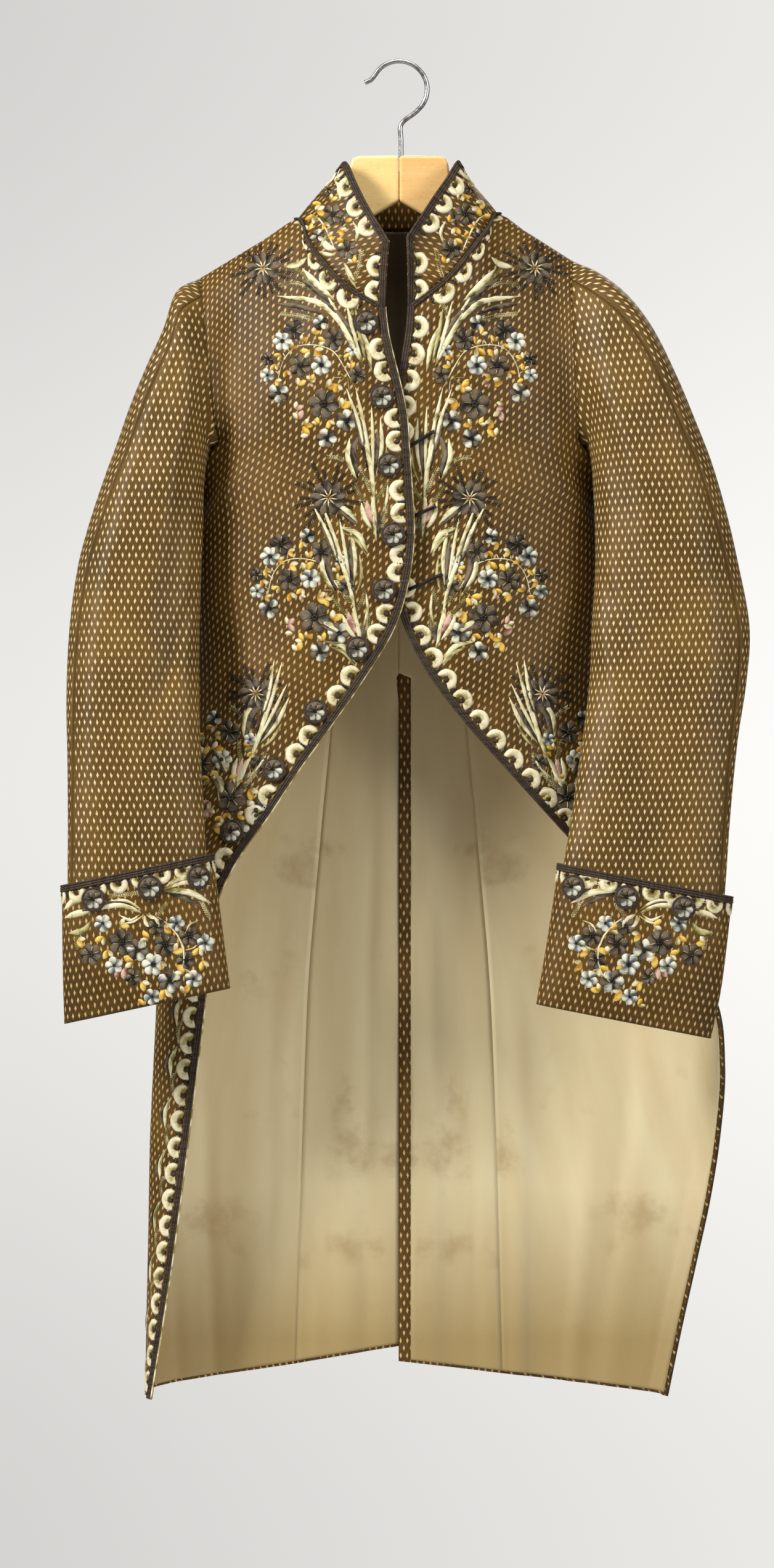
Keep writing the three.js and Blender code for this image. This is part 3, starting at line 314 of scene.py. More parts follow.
def lay_flat(grid, start=0):
    """Cloth coordinates in mm for a grid: its starting row lies straight, and each next row is laid beside
    the last one, as long as it is, so that the weave keeps its size where the rows turn."""
    flat = np.zeros(grid.shape[:2] + (2,))
    along = lengths(grid[start])
    flat[start, :, 0] = along - along.mean()
    for order in (range(start + 1, len(grid)), range(start - 1, -1, -1)):
        for row in order:
            last = row - 1 if row > start else row + 1
            step = grid[row] - grid[last]
            tangent = unit(np.gradient(grid[last], axis=0))
            heading = unit(np.gradient(flat[last], axis=0))
            sideways = (step * tangent).sum(1)
            drop = np.sqrt(np.maximum((step**2).sum(1) - sideways**2, 0)) * (row - last)
            down = np.stack([heading[:, 1], -heading[:, 0]], 1)
            guess = flat[last] + heading * sideways[:, None] + down * drop[:, None]
            runs = np.diff(guess, axis=0)
            padded = np.pad(runs, ((2, 2), (0, 0)), "edge")
            runs = sum(weight * padded[k : k + len(runs)] for k, weight in enumerate((1, 2, 3, 2, 1)))
            runs = unit(runs) * np.diff(lengths(grid[row]))[:, None]
            laid = np.vstack([np.zeros((1, 2)), np.cumsum(runs, axis=0)])
            flat[row] = laid + (guess - laid).mean(0)
    return flat


def hang_flat(grid, last, out):
    """Cloth coordinates for cloth that hangs in front from the rows above its last, whose own are given:
    each column goes straight up from there."""
    flat = np.zeros(grid.shape[:2] + (2,))
    flat[..., 0] = last[:, 0] - out * (grid[..., 0] - grid[-1, :, 0])
    rise = np.linalg.norm(np.diff(grid[..., 1:], axis=0), axis=2)
    flat[:-1, :, 1] = np.cumsum(rise[::-1], axis=0)[::-1]
    flat[..., 1] += last[:, 1]
    return flat


NO_STRIP = 20.0  # farther from a sleeve's seam than its plain strip reaches


class Patch:
    """A fine grid of one cut piece: points, outward normals, cloth coordinates, distance from a seam."""

    def __init__(self, grid, out, flat=None, start=0):
        self.points = grid
        self.out = out
        self.normals = normals_of(grid, out)
        self.flat = lay_flat(grid, start) if flat is None else flat
        self.seam = np.full(grid.shape[:2], NO_STRIP)

    def part(self, rows, columns):
        """The patch between some rows and columns, keeping its normals and cloth coordinates."""
        made = Patch.__new__(Patch)
        made.out = self.out
        for name in ("points", "normals", "flat", "seam"):
            setattr(made, name, getattr(self, name)[rows, columns])
        return made


def half_patches(half):
    """The front's and back's patches of one half. Each has an upper part, with the shoulder and the
    armhole, and a lower part from the chest line down."""
    net = body_net(half)
    rows, columns = cell_steps(net, 0), cell_steps(net[CHEST_ROW:], 1)
    column_at = [sum(columns[0][:k]) for k in range(EDGE_COLUMN + 1)]
    index = fine_knots(np.arange(EDGE_COLUMN + 1), columns[0])
    half["column_at"], half["steps"] = column_at, (rows[0], columns[0])
    overlap = rows[0][CHEST_ROW - 1]  # rows of the finished mesh in the cell above the chest line

    def fine(first_row, last_row, first, last):
        """A part of the net made into finished mesh points, with the creases."""
        part = net[first_row : last_row + 1, first : last + 1]
        spans = (
            (rows[0][first_row:last_row], rows[1][first_row : last_row + 1]),
            (columns[0][first:last], columns[1][first : last + 1]),
        )
        grid = refine(part, *spans)
        at = index[column_at[first] : column_at[last] + 1]
        push = fold_push(half["creases"], grid[..., 2], np.broadcast_to(at, grid.shape[:2]))
        if first == 0:
            push[:, 0] = 0
        return grid + normals_of(grid, half["out"]) * push[..., None]

    made = {}
    for name, first, first_above, last in (
        ("back", 0, 0, BACK_ARMHOLE), ("front", BACK_ARMHOLE, FRONT_ARMHOLE, EDGE_COLUMN),
    ):
        lower = fine(CHEST_ROW - 1, HEM_ROW, first, last)[overlap:]
        upper = fine(0, CHEST_ROW + 1, first_above, last)[: sum(rows[0][:CHEST_ROW]) + 1]
        shift = column_at[first_above] - column_at[first]
        shared = slice(shift, shift + upper.shape[1])
        upper[-1] = lower[0, shared]
        low = Patch(lower, half["out"])
        if name == "front":
            high_flat = hang_flat(upper, low.flat[0, shared], half["out"])
        else:
            high_flat = lay_flat(upper, len(upper) - 1)
            high_flat[..., 0] += low.flat[0, shared, 0].mean() - high_flat[-1, :, 0].mean()
        high = Patch(upper, half["out"], flat=high_flat)
        high.normals[-1] = low.normals[0, shared] = unit(high.normals[-1] + low.normals[0, shared])
        made[name] = (high, low)
    return made


for half in (LEFT, RIGHT):
    half.update(half_patches(half))


# ---------------------------------------------------------------- silk pieces of the body
# Fronts and backs of brown-olive silk with a woven lozenge spot, interlined with linen. The fronts were
# cut a little off the straight, so their spots lean. Each piece is a thin shell on the net, 1.8 mm thick.
CLOTH = 1.8
BIAS = math.radians(24)  # how far the fronts' weave leans
MM = 0.001


def mesh_object(name, vertices, faces, material, uv=None, attributes=None):
    """A smooth mesh object from points in mm, with loop UVs in metres of cloth and point attributes."""
    mesh = bpy.data.meshes.new(name)
    mesh.from_pydata((np.asarray(vertices) * MM).tolist(), [], [list(map(int, f)) for f in faces])
    if uv is not None:
        layer = mesh.uv_layers.new(name="cloth")
        layer.data.foreach_set("uv", (np.asarray(uv) * MM).ravel())
    for key, values in (attributes or {}).items():
        mesh.attributes.new(key, "FLOAT", "POINT").data.foreach_set("value", values)
    mesh.polygons.foreach_set("use_smooth", np.ones(len(mesh.polygons), bool))
    mesh.materials.append(material)
    obj = bpy.data.objects.new(name, mesh)
    bpy.context.scene.collection.objects.link(obj)
    return obj


def join_patches(patches):
    """One mesh's points, faces, UVs and seam distances from patches that meet."""
    points = np.vstack([p.points.reshape(-1, 3) for p in patches])
    seam = np.concatenate([p.seam.ravel() for p in patches])
    _, first, same = np.unique(np.round(points, 2), axis=0, return_index=True, return_inverse=True)
    same = same.reshape(-1)
    faces, uv = [], []
    base = 0
    for p in patches:
        rows, columns = p.points.shape[:2]
        ids = np.arange(rows * columns).reshape(rows, columns)
        quads = np.stack([ids[:-1, :-1], ids[:-1, 1:], ids[1:, 1:], ids[1:, :-1]], -1).reshape(-1, 4)
        if p.out < 0:
            quads = quads[:, ::-1]
        flat = p.flat.reshape(-1, 2)
        for quad in quads:
            face = same[quad + base]
            keep = [k for k in range(4) if face[k] != face[k - 1]]
            if len(keep) > 2:
                faces.append(face[keep])
                uv.append(flat[quad[keep]])
        base += rows * columns
    return points[first], faces, np.vstack(uv), seam[first]


def shell(name, patches, thickness, material, weave=0.0):
    """A thin closed shell under patches of cloth. weave turns the cloth's pattern."""
    points, faces, uv, seam = join_patches(patches)
    turn = np.array(((math.cos(weave), -math.sin(weave)), (math.sin(weave), math.cos(weave))))
    obj = mesh_object(name, points, faces, material, uv @ turn.T, {"from_seam": seam})
    thick = obj.modifiers.new("thickness", "SOLIDIFY")
    thick.thickness = thickness * MM
    thick.offset = -1
    return obj


def linear(hexa):
    """An sRGB hex colour as linear red, green, blue and alpha."""
    parts = [int(hexa[i : i + 2], 16) / 255 for i in (1, 3, 5)]
    return [(c / 12.92 if c <= 0.04045 else ((c + 0.055) / 1.055) ** 2.4) for c in parts] + [1.0]


def plug(node, **inputs):
    """Fills a node's inputs, named or numbered (as i0, i1), from values, sockets or nodes' first outputs."""
    for key, value in inputs.items():
        place = int(key[1:]) if key[0] == "i" and key[1:].isdigit() else key.replace("_", " ")
        if isinstance(value, bpy.types.Node):
            value = value.outputs[0]
        if isinstance(value, bpy.types.NodeSocket):
            node.id_data.links.new(value, node.inputs[place])
        else:
            node.inputs[place].default_value = value


def add_node(material, kind, settings=None, **inputs):
    """Adds a shader node. Its settings may hold shades: a ramp's places and colours, from low to high."""
    node = material.node_tree.nodes.new("ShaderNode" + kind)
    for key, value in (settings or {}).items():
        if key != "shades":
            setattr(node, key, value)
            continue
        stops = node.color_ramp.elements
        for stop, (at, colour) in zip(stops, (value[0], value[-1])):
            stop.position, stop.color = at, linear(colour)
        for at, colour in value[1:-1]:
            stops.new(at).color = linear(colour)
    plug(node, **inputs)
    return node


def new_material(name):
    """A new material and its surface node."""
    material = bpy.data.materials.new(name)
    material.use_nodes = True
    return material, material.node_tree.nodes["Principled BSDF"]


ADD, SUBTRACT, MULTIPLY, MULTIPLY_ADD = (
    {"operation": kind} for kind in ("ADD", "SUBTRACT", "MULTIPLY", "MULTIPLY_ADD")
)
SOFT = {"interpolation_type": "SMOOTHSTEP"}
CLOTH_MAP = {"uv_map": "cloth"}
PITCH = (6.1, 13.8)  # from spot to spot across the cloth, and from each row to the next but one
SPOT = (1.3, 3.2)  # a lozenge's half width and half height
PLAIN_STRIP = (2.2, 3.4)  # the spots begin this far from a sleeve's seam


def figured_silk(name, ground_shades, spot_shades):
    """Brown and olive silk, woven with a small cream lozenge in half-drop rows, of a soft, low lustre. Its
    ribs are drawn 0.4 mm apart and 1.1 mm long, about twice the real ones, so that they show."""
    made, surface = new_material(name)
    place = add_node(made, "UVMap", CLOTH_MAP)
    wobble = add_node(made, "TexNoise", Vector=place, Scale=260.0, Detail=2.0).outputs["Color"]
    bend = add_node(made, "VectorMath", MULTIPLY_ADD, i0=wobble, i1=(0.0012,) * 3, i2=place)
    repeat = add_node(made, "VectorMath", MULTIPLY, i0=bend, i1=(1000 / PITCH[0], 1000 / PITCH[1], 0.0))
    reaches = []
    for shift in (0.0, 0.5):
        moved = add_node(made, "VectorMath", ADD, i0=repeat, i1=(shift, shift, 0.0))
        within = add_node(made, "VectorMath", {"operation": "FRACTION"}, i0=moved)
        middle = add_node(made, "VectorMath", SUBTRACT, i0=within, i1=(0.5, 0.5, 0.0))
        size = add_node(made, "VectorMath", {"operation": "ABSOLUTE"}, i0=middle)
        spans = (PITCH[0] / SPOT[0], PITCH[1] / SPOT[1], 0.0)
        reach = add_node(made, "VectorMath", {"operation": "DOT_PRODUCT"}, i0=size, i1=spans)
        reaches.append(reach.outputs["Value"])
    nearest = add_node(made, "Math", {"operation": "MINIMUM"}, i0=reaches[0], i1=reaches[1])
    spot = add_node(made, "MapRange", SOFT, Value=nearest, i1=1.05, i2=0.62)
    seam = add_node(made, "Attribute", {"attribute_name": "from_seam"}).outputs["Fac"]
    strip = add_node(made, "MapRange", SOFT, Value=seam, i1=PLAIN_STRIP[0], i2=PLAIN_STRIP[1])
    figure = add_node(made, "Math", MULTIPLY, i0=spot, i1=strip)
    weft = add_node(made, "Mapping", Vector=place, Scale=(900.0, 2600.0, 1.0))
    rib = add_node(made, "TexNoise", Vector=weft, Scale=1.0, Detail=2.0)
    cloud = add_node(made, "TexNoise", Vector=place, Scale=14.0, Detail=3.0)
    shade = add_node(made, "Math", MULTIPLY_ADD, i0=cloud, i1=0.45, i2=-0.22)
    tone = add_node(made, "Math", ADD, i0=rib, i1=shade)
    ground = add_node(made, "ValToRGB", {"shades": list(zip((0.30, 0.5, 0.72), ground_shades))}, Fac=tone)
    low, high = (linear(colour) for colour in spot_shades)
    thread = add_node(made, "MixRGB", Fac=rib, Color1=low, Color2=high)
    colour = add_node(made, "MixRGB", Fac=figure, Color1=ground, Color2=thread)
    relief = add_node(made, "Math", MULTIPLY_ADD, i0=figure, i1=0.6, i2=rib)
    groove = add_node(made, "MapRange", SOFT, Value=seam, i1=0.0, i2=1.4)
    height = add_node(made, "Math", MULTIPLY_ADD, i0=groove, i1=2.5, i2=relief)
    bump = add_node(made, "Bump", Strength=0.35, Distance=0.0003, Height=height)
    plug(surface, Base_Color=colour, Normal=bump, Roughness=0.5, Specular_IOR_Level=0.2)
    plug(surface, Sheen_Weight=0.05, Sheen_Roughness=0.35, Sheen_Tint=linear("#d8bd88"))
    return made


silk = figured_silk("figured_silk", ("#2d200a", "#523a15", "#7e5e28"), ("#a0773a", "#eccb8c"))
# The sleeves take a lighter copy of the same silk: painted light, for the brighter light that falls on them.
sleeve_silk_painted_lighter = figured_silk(
    "figured_silk_painted_lighter", ("#35260e", "#5f461c", "#8b6a32"), ("#c39b58", "#ffebba")
)
for half in (LEFT, RIGHT):
    side = half["side"]
    for name, weave in (("front", -BIAS * half["out"]), ("back", 0.0)):
        piece = shell(f"silk_{name}_{side}", half[name], CLOTH, silk, weave)
        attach(piece, "root")
        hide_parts(f"{name}_{side}")


# ---------------------------------------------------------------- linings
# Cream silk, felled by hand just inside the edges of the fronts and tails. Along the left tail's vent
# the brown silk turns 11 mm round the edge. Only the fronts and backs are lined where it shows.
LINING, LINING_DEPTH, LINING_SHORT, VENT_FACING = 1.0, 2.3, 2.5, 11
# The lining is made darker towards the tails' hem, and painted with shade high up at the neck, where the
# inside of the coat lies in shadow.
HEM_DARKENING, NECK_PAINTED_SHADE = (-1.03, -1.17), (-0.40, -0.12)  # heights in metres from which each grows, and where it is full


def trimmed(patch, first=0.0, last=0.0, end=0.0):
    """The patch with its first and last columns and its last row moved in by these distances."""
    made = patch.part(slice(None), slice(None))
    stack = np.concatenate([made.points, made.normals, made.flat, made.seam[..., None]], -1)
    first = np.broadcast_to(first, len(stack))
    for row in range(len(stack)):
        along = lengths(stack[row, :, :3])
        places = np.clip(along, first[row], along[-1] - last)
        stack[row] = read_at(stack[row], along, places)
    if end:
        for column in range(stack.shape[1]):
            along = lengths(stack[:, column, :3])
            stack[:, column] = read_at(stack[:, column], along, np.clip(along, 0, along[-1] - end))
    made.points, made.normals = stack[..., :3].copy(), stack[..., 3:6]
    made.flat, made.seam = stack[..., 6:8].copy(), stack[..., 8].copy()
    return made


def sunk(patch, depth):
    """The patch moved under the cloth's outer face."""
    made = patch.part(slice(None), slice(None))
    made.points = made.points - made.normals * depth
    return made


def lining_silk():
    """Cream silk taffeta, yellowed, with brown tide marks, darker towards the tails' hem, and painted with
    shade high at the neck, where the coat's inside lies in shadow.
    Its threads are drawn 0.5 by 0.7 mm, so that they show as a dull, fine grain."""
    made, surface = new_material("lining_silk")
    place = add_node(made, "UVMap", CLOTH_MAP)
    stretched = add_node(made, "Mapping", Vector=place, Scale=(26.0, 5.0, 1.0))
    streak = add_node(made, "TexNoise", Vector=stretched, Scale=1.0, Detail=4.0)
    stain = add_node(made, "TexNoise", Vector=place, Scale=9.0, Detail=5.0, Roughness=0.62)
    spots = add_node(made, "MapRange", SOFT, Value=stain, i1=0.56, i2=0.72)
    base = add_node(made, "MixRGB", Fac=streak, Color1=linear("#c7af7e"), Color2=linear("#e6d9b0"))
    aged = add_node(made, "Math", MULTIPLY, i0=spots, i1=0.5)
    stained = add_node(made, "MixRGB", Fac=aged, Color1=base, Color2=linear("#94703c"))
    height = add_node(made, "SeparateXYZ", Vector=add_node(made, "TexCoord").outputs["Object"]).outputs["Z"]
    # Darker towards the tails' hem.
    low = add_node(made, "MapRange", Value=height, i1=HEM_DARKENING[0], i2=HEM_DARKENING[1], i4=0.95)
    darker_at_hem = add_node(made, "MixRGB", Fac=low, Color1=stained, Color2=linear("#9d8450"))
    # Painted shade at the neck, where the coat's inside lies in shadow, its edge broken by the stains' noise;
    # #46321a is the painted shade's colour.
    neck_painted_shade_place = add_node(made, "Math", MULTIPLY_ADD, i0=stain, i1=0.18, i2=height)
    high = add_node(made, "MapRange", SOFT, Value=neck_painted_shade_place, i1=NECK_PAINTED_SHADE[0], i2=NECK_PAINTED_SHADE[1], i4=0.9)
    colour = add_node(made, "MixRGB", Fac=high, Color1=darker_at_hem, Color2=linear("#46321a"))
    fine = add_node(made, "Mapping", Vector=place, Scale=(1400.0, 2200.0, 1.0))
    weave = add_node(made, "TexNoise", Vector=fine, Scale=1.0, Detail=1.0)
    soft = add_node(made, "Math", MULTIPLY_ADD, i0=streak, i1=4.0, i2=weave)
    bump = add_node(made, "Bump", Strength=0.3, Distance=0.0004, Height=soft)
    plug(surface, Base_Color=colour, Normal=bump, Roughness=0.5, Sheen_Weight=0.15)
    return made


cream_silk = lining_silk()
for half in (LEFT, RIGHT):
    side = half["side"]
    front = [sunk(trimmed(half["front"][0], last=LINING_SHORT), LINING_DEPTH)]
    front.append(sunk(trimmed(half["front"][1], last=LINING_SHORT, end=LINING_SHORT), LINING_DEPTH))
    high, low = half["back"]
    vent = np.where(low.points[:, 0, 2] < VENT_TOP, VENT_FACING if side == "left" else LINING_SHORT, 0.0)
    back = [sunk(high, LINING_DEPTH), sunk(trimmed(low, first=vent, end=LINING_SHORT), LINING_DEPTH)]
    for name, patches, width, area in (("front", front, 0.35, 0.24), ("back", back, 0.17, 0.102)):
        piece = shell(f"lining_{name}_{side}", patches, LINING, cream_silk)
        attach(piece, "root")
        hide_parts(f"{name}_lining_{side}")


# ---------------------------------------------------------------- sleeves
# Cut in two pieces, with a seam down the front near the outer edge and one behind the elbow. A narrow
# plain strip follows each seam. They start on the armhole's own edge, and hang a little forward.
# one ring a row: outer end (out, height), inner end (out, height), middle depth, half depth
LEFT_SLEEVE = (
    (184, -192, 171.5, -354, 0, 45), (209, -212, 173, -358, -4, 50), (232, -243, 174.5, -364, -8, 52),
    (254, -288, 176, -375, -13, 53), (270, -327, 177, -391, -18, 53), (285, -366, 178, -411, -23, 51),
    (298, -412, 178.5, -440, -29, 49), (308, -457, 178, -472, -35, 46), (318, -515, 175, -513, -45, 40),
    (315, -565, 172, -570, -56, 35), (306, -622, 164, -630, -69, 30), (299, -686, 156, -684, -80, 26),
    (294, -752, 149, -726, -87, 22), (288, -815, 139, -788, -89, 20), (277, -880, 128, -851, -89, 18),
)
RIGHT_SLEEVE = (
    (204, -209, 172, -354, 0, 46), (215, -242, 174, -359, -4, 50), (230, -276, 175.5, -366, -9, 52),
    (245, -313, 177, -377, -14, 53), (257, -348, 178, -393, -19, 53), (270, -384, 178.5, -413, -24, 51),
    (283, -425, 179, -441, -29, 49), (292, -461, 180, -472, -35, 46), (299, -515, 181, -516, -45, 41),
    (301.5, -580, 181, -580, -58, 35), (300, -640, 179, -636, -71, 30), (299, -694, 176, -684, -81, 26),
    (299, -746, 174, -719, -87, 22), (299, -808, 166, -778, -89, 20), (298, -868, 158, -838, -89, 18),
)
# first and last ring, ring point at each, reach in ring points, how far it stands out
LEFT_SLEEVE_FOLDS = (
    (0.3, 6, 1.0, 1.8, 0.7, 2.2), (0.2, 7, 3.0, 3.4, 0.9, -2.6), (0.4, 5, 4.6, 4.4, 0.7, 2.0),
    (2, 11, 5.6, 5.2, 1.0, -3.0), (4, 12, 2.7, 3.6, 0.9, 2.4), (7.5, 10.5, 7.2, 4.4, 0.6, -2.4),
    (8.2, 11, 7.4, 5.2, 0.5, 2.0), (9, 15, 4.6, 4.2, 0.9, -2.0), (1, 13, 13.5, 13.2, 1.2, -3.0),
    (3, 14, 10.4, 10.8, 1.0, 2.4), (8, 11, 15.5, 12.8, 0.7, -2.0), (5, 9, 7.6, 6.6, 0.6, 1.8),
)
RIGHT_SLEEVE_FOLDS = (
    (0.3, 5, 0.9, 1.7, 0.7, 2.2), (0.2, 8, 2.9, 3.6, 0.9, -2.4), (0.4, 6, 4.4, 4.6, 0.7, 2.2),
    (3, 12, 5.8, 5.4, 1.0, -3.0), (5, 13, 3.0, 3.2, 0.9, 2.2), (8.0, 10.8, 7.0, 4.6, 0.6, -2.2),
    (9, 15, 4.8, 4.0, 0.9, -2.2), (1, 12, 13.2, 13.6, 1.2, -2.8), (4, 14, 10.8, 10.4, 1.0, 2.4),
    (8, 11, 15.3, 12.9, 0.7, -2.2), (5, 9.5, 7.6, 6.8, 0.6, 1.8),
)
# ring, the front seam's place as a share of the way round
FRONT_SEAM = ((0, 0.125), (4, 0.135), (8, 0.105), (12, 0.07), (15, 0.055))
RING_POINTS = 16  # net points round each ring
FRONT_SEAM_POINT, BACK_SEAM_POINT = 2, 11


def around_ring(step):
    """The way from one ring point to another, the shorter way round."""
    return np.abs((step + RING_POINTS / 2) % RING_POINTS - RING_POINTS / 2)


def ring_points(ring, out, shares, fullness):
    """Points round a flattened ring. Share 0 is its outer end, and it goes round by the front."""
    angle = 2 * math.pi * np.asarray(shares)
    across = 0.5 + np.sign(np.cos(angle)) * np.abs(np.cos(angle)) ** fullness / 2
    deep = np.sign(np.sin(angle)) * np.abs(np.sin(angle)) ** fullness
    outer_out, outer_up, inner_out, inner_up, middle, half_deep = ring
    return np.stack([
        out * (inner_out + (outer_out - inner_out) * across),
        middle - half_deep * deep,
        inner_up + (outer_up - inner_up) * across,
    ], -1)


def closed_normals(grid, out):
    """Normals of a grid whose last column is its first again."""
    ring = grid[:, :-1]
    wide = np.concatenate([ring[:, -1:], ring, ring[:, :1]], axis=1)
    normal = normals_of(wide, out)[:, 1:-1]
    return np.concatenate([normal, normal[:, :1]], axis=1)


def sleeve_grid(half, rings, folds):
    """The sleeve from the armhole to the wrist, and the ring point of each of its columns."""
    rows, columns = half["steps"]
    armhole_rows = rows[:CHEST_ROW]
    under_arm = columns[BACK_ARMHOLE:FRONT_ARMHOLE]
    steps = [*armhole_rows, *under_arm[::-1], *armhole_rows[::-1]]
    (front_high, front_low), (back_high, _) = half["front"], half["back"]
    under = sum(under_arm)
    armhole = np.vstack([
        front_high.points[:, 0], front_low.points[0, :under][::-1], back_high.points[::-1, -1][1:],
    ])
    at = np.concatenate([k + np.arange(n) / n for k, n in enumerate(steps)] + [[RING_POINTS]])
    seam = np.array(FRONT_SEAM, float)
    grid = [armhole]
    for number, ring in enumerate(rings, 1):
        shift = hermite(seam[:, 0], seam[:, 1], number)[0] - seam[0, 1]
        near = np.clip(around_ring(at - FRONT_SEAM_POINT) / 6, 0, 1)
        shares = at / RING_POINTS + shift * np.cos(near * math.pi / 2) ** 2
        fullness = 0.95 - 0.2 * number / len(rings)
        grid.append(ring_points(ring, half["out"], shares, fullness))
    grid = np.array(grid)
    size = np.linalg.norm(np.diff(grid, axis=0), axis=2).mean(1)
    knots = np.concatenate([[0], np.cumsum(size)])
    places = fine_knots(knots, [max(2, round(step / CELL)) for step in size])
    grid = hermite(knots, grid, places)
    ring_at = np.interp(places, knots, np.arange(len(knots)))[:, None]
    push = np.zeros(grid.shape[:2])
    for start, stop, at_start, at_stop, reach, depth in folds:
        along = np.clip((ring_at - start) / (stop - start), 0, 1)
        middle = at_start + (at_stop - at_start) * along
        across = np.clip(around_ring(at[None] - middle) / reach, 0, 1)
        rise = np.minimum(np.minimum(along, 1 - along), 0.35) / 0.35
        push += depth * np.cos(across * math.pi / 2) ** 2 * np.sin(rise * math.pi / 2) ** 2
    push *= np.clip(ring_at / 1.5, 0, 1)
    return grid + closed_normals(grid, half["out"]) * push[..., None], at


for half, rings, folds in ((LEFT, LEFT_SLEEVE, LEFT_SLEEVE_FOLDS), (RIGHT, RIGHT_SLEEVE, RIGHT_SLEEVE_FOLDS)):
    side = half["side"]
    grid, at = sleeve_grid(half, rings, folds)
    first, second = (int(np.argmin(np.abs(at - k))) for k in (FRONT_SEAM_POINT, BACK_SEAM_POINT))
    whole = Patch(grid, half["out"], start=len(grid) // 2)
    whole.normals = closed_normals(grid, half["out"])
    front = whole.part(slice(None), slice(first, second + 1))
    around = np.r_[second : len(at) - 1, 0 : first + 1]
    back = whole.part(slice(None), around)
    for name, patch, width, area in (("front", front, 0.24, 0.112), ("back", back, 0.2, 0.096)):
        along = np.array([lengths(row) for row in patch.points])
        patch.flat = lay_flat(patch.points, len(grid) // 2)
        patch.seam = np.minimum(np.minimum(along, along[:, -1:] - along), NO_STRIP)
        piece = shell(f"silk_sleeve_{name}_{side}", [patch], CLOTH, sleeve_silk_painted_lighter)
        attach(piece, "root")
        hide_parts(f"sleeve_{name}_{side}")


# ---------------------------------------------------------------- collar
# A standing collar of the same silk over buckram, joined to the neckline all round. It leans in on the
# hanger's head, and its back has rolled forward a little.
COLLAR_CLOTH, COLLAR_BOW = 2.4, 1.2
FRONT_NECK_COLUMN = FRONT_ARMHOLE + SHOULDER_COLUMNS
BACK_NECK_COLUMNS = BACK_ARMHOLE - SHOULDER_COLUMNS


def neck_start(half):
    """The column of the finished front where its shoulder ends and its neck begins."""
    return half["column_at"][FRONT_NECK_COLUMN] - half["column_at"][FRONT_ARMHOLE]


def collar_grid(half):
    """Half the collar, from its top edge down to the neckline, from the centre back to the front."""
    steps = half["steps"][1]
    behind, before = steps[:BACK_NECK_COLUMNS], steps[FRONT_NECK_COLUMN:]
    neck_back = half["back"][0].points[0, : sum(behind) + 1]
    seam = np.vstack([neck_back, half["front"][0].points[0, neck_start(half) + 1 :]])
    top = np.array(half["collar_top"], float) * (half["out"], 1, 1)
    knots = lengths(top)
    top = hermite(knots, top, fine_knots(knots, behind + before))
    rows = np.linspace(0, 1, 13)[:, None, None]
    bow = np.sin(rows * math.pi) * COLLAR_BOW
    grid = top[None] * (1 - rows) + seam[None] * rows
    return grid + normals_of(grid, half["out"]) * bow


left_grid, right_grid = collar_grid(LEFT), collar_grid(RIGHT)
collar = Patch(np.concatenate([right_grid[:, :0:-1], left_grid], axis=1), 1)
collar_piece = shell("silk_collar", [collar], COLLAR_CLOTH, silk)
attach(collar_piece, "root")
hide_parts("collar")


# ---------------------------------------------------------------- cuffs
# Deep round cuffs of the same silk, turned back from the wrist and closed behind.
LEFT_CUFF = (
    (299.5, -761, 143.5, -731, -87, 28), (299, -767.5, 142.6, -737.5, -87.2, 27.7),
    (295, -803, 137, -773, -88.5, 26), (289, -846, 130, -815, -89, 24), (280, -888, 122.5, -857, -89, 22),
)
RIGHT_CUFF = (
    (304, -751, 168.5, -722, -87, 28), (304, -757.5, 167.7, -728.3, -87.2, 27.7),
    (304, -793, 163, -762, -88.5, 26), (303.5, -834, 158, -803, -89, 24), (302.5, -875, 153, -843, -89, 22),
)
CUFF_CLOTH, CUFF_FULLNESS = 2.2, 0.65
CUFF_ROWS = 27
CUFF_JOIN = 0.62  # share of the way round where the cuff is closed, at the back

for half, rings in ((LEFT, LEFT_CUFF), (RIGHT, RIGHT_CUFF)):
    side = half["side"]
    shares = CUFF_JOIN + np.linspace(0, 1, 91)
    grid = np.array([ring_points(ring, half["out"], shares, CUFF_FULLNESS) for ring in rings])
    size = np.linalg.norm(np.diff(grid, axis=0), axis=2).mean(1)
    knots = np.concatenate([[0], np.cumsum(size)])
    grid = hermite(knots, grid, np.linspace(0, knots[-1], CUFF_ROWS))
    sag = np.sin(shares * 2 * math.pi * 3 + half["out"]) * np.linspace(0.2, 1.0, CUFF_ROWS)[:, None]
    grid += closed_normals(grid, half["out"]) * sag[..., None]
    patch = Patch(grid, half["out"])
    patch.normals = closed_normals(grid, half["out"])
    half["cuff"] = patch
    piece = shell(f"silk_cuff_{side}", [patch], CUFF_CLOTH, silk)
    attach(piece, "root")
    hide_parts(f"cuff_{side}")


# ---------------------------------------------------------------- braid
# Three rows of dark grey-brown chenille cord, couched along the front edges, the collar's seam, top and
# front edges, and the cuffs' upper edges. A thin cream cord edges the right front.
def offset_line(points, normals, distance, lift):
    """A line moved sideways over the cloth, to the right of its own direction, and up off the cloth."""
    sideways = unit(np.cross(np.gradient(points, axis=0), normals))
    return points + sideways * distance + normals * lift


def smoothed(points, spacing):
    """A line read again at even steps."""
    along = lengths(points)
    return read_at(points, along, np.linspace(0, along[-1], max(2, round(along[-1] / spacing))))


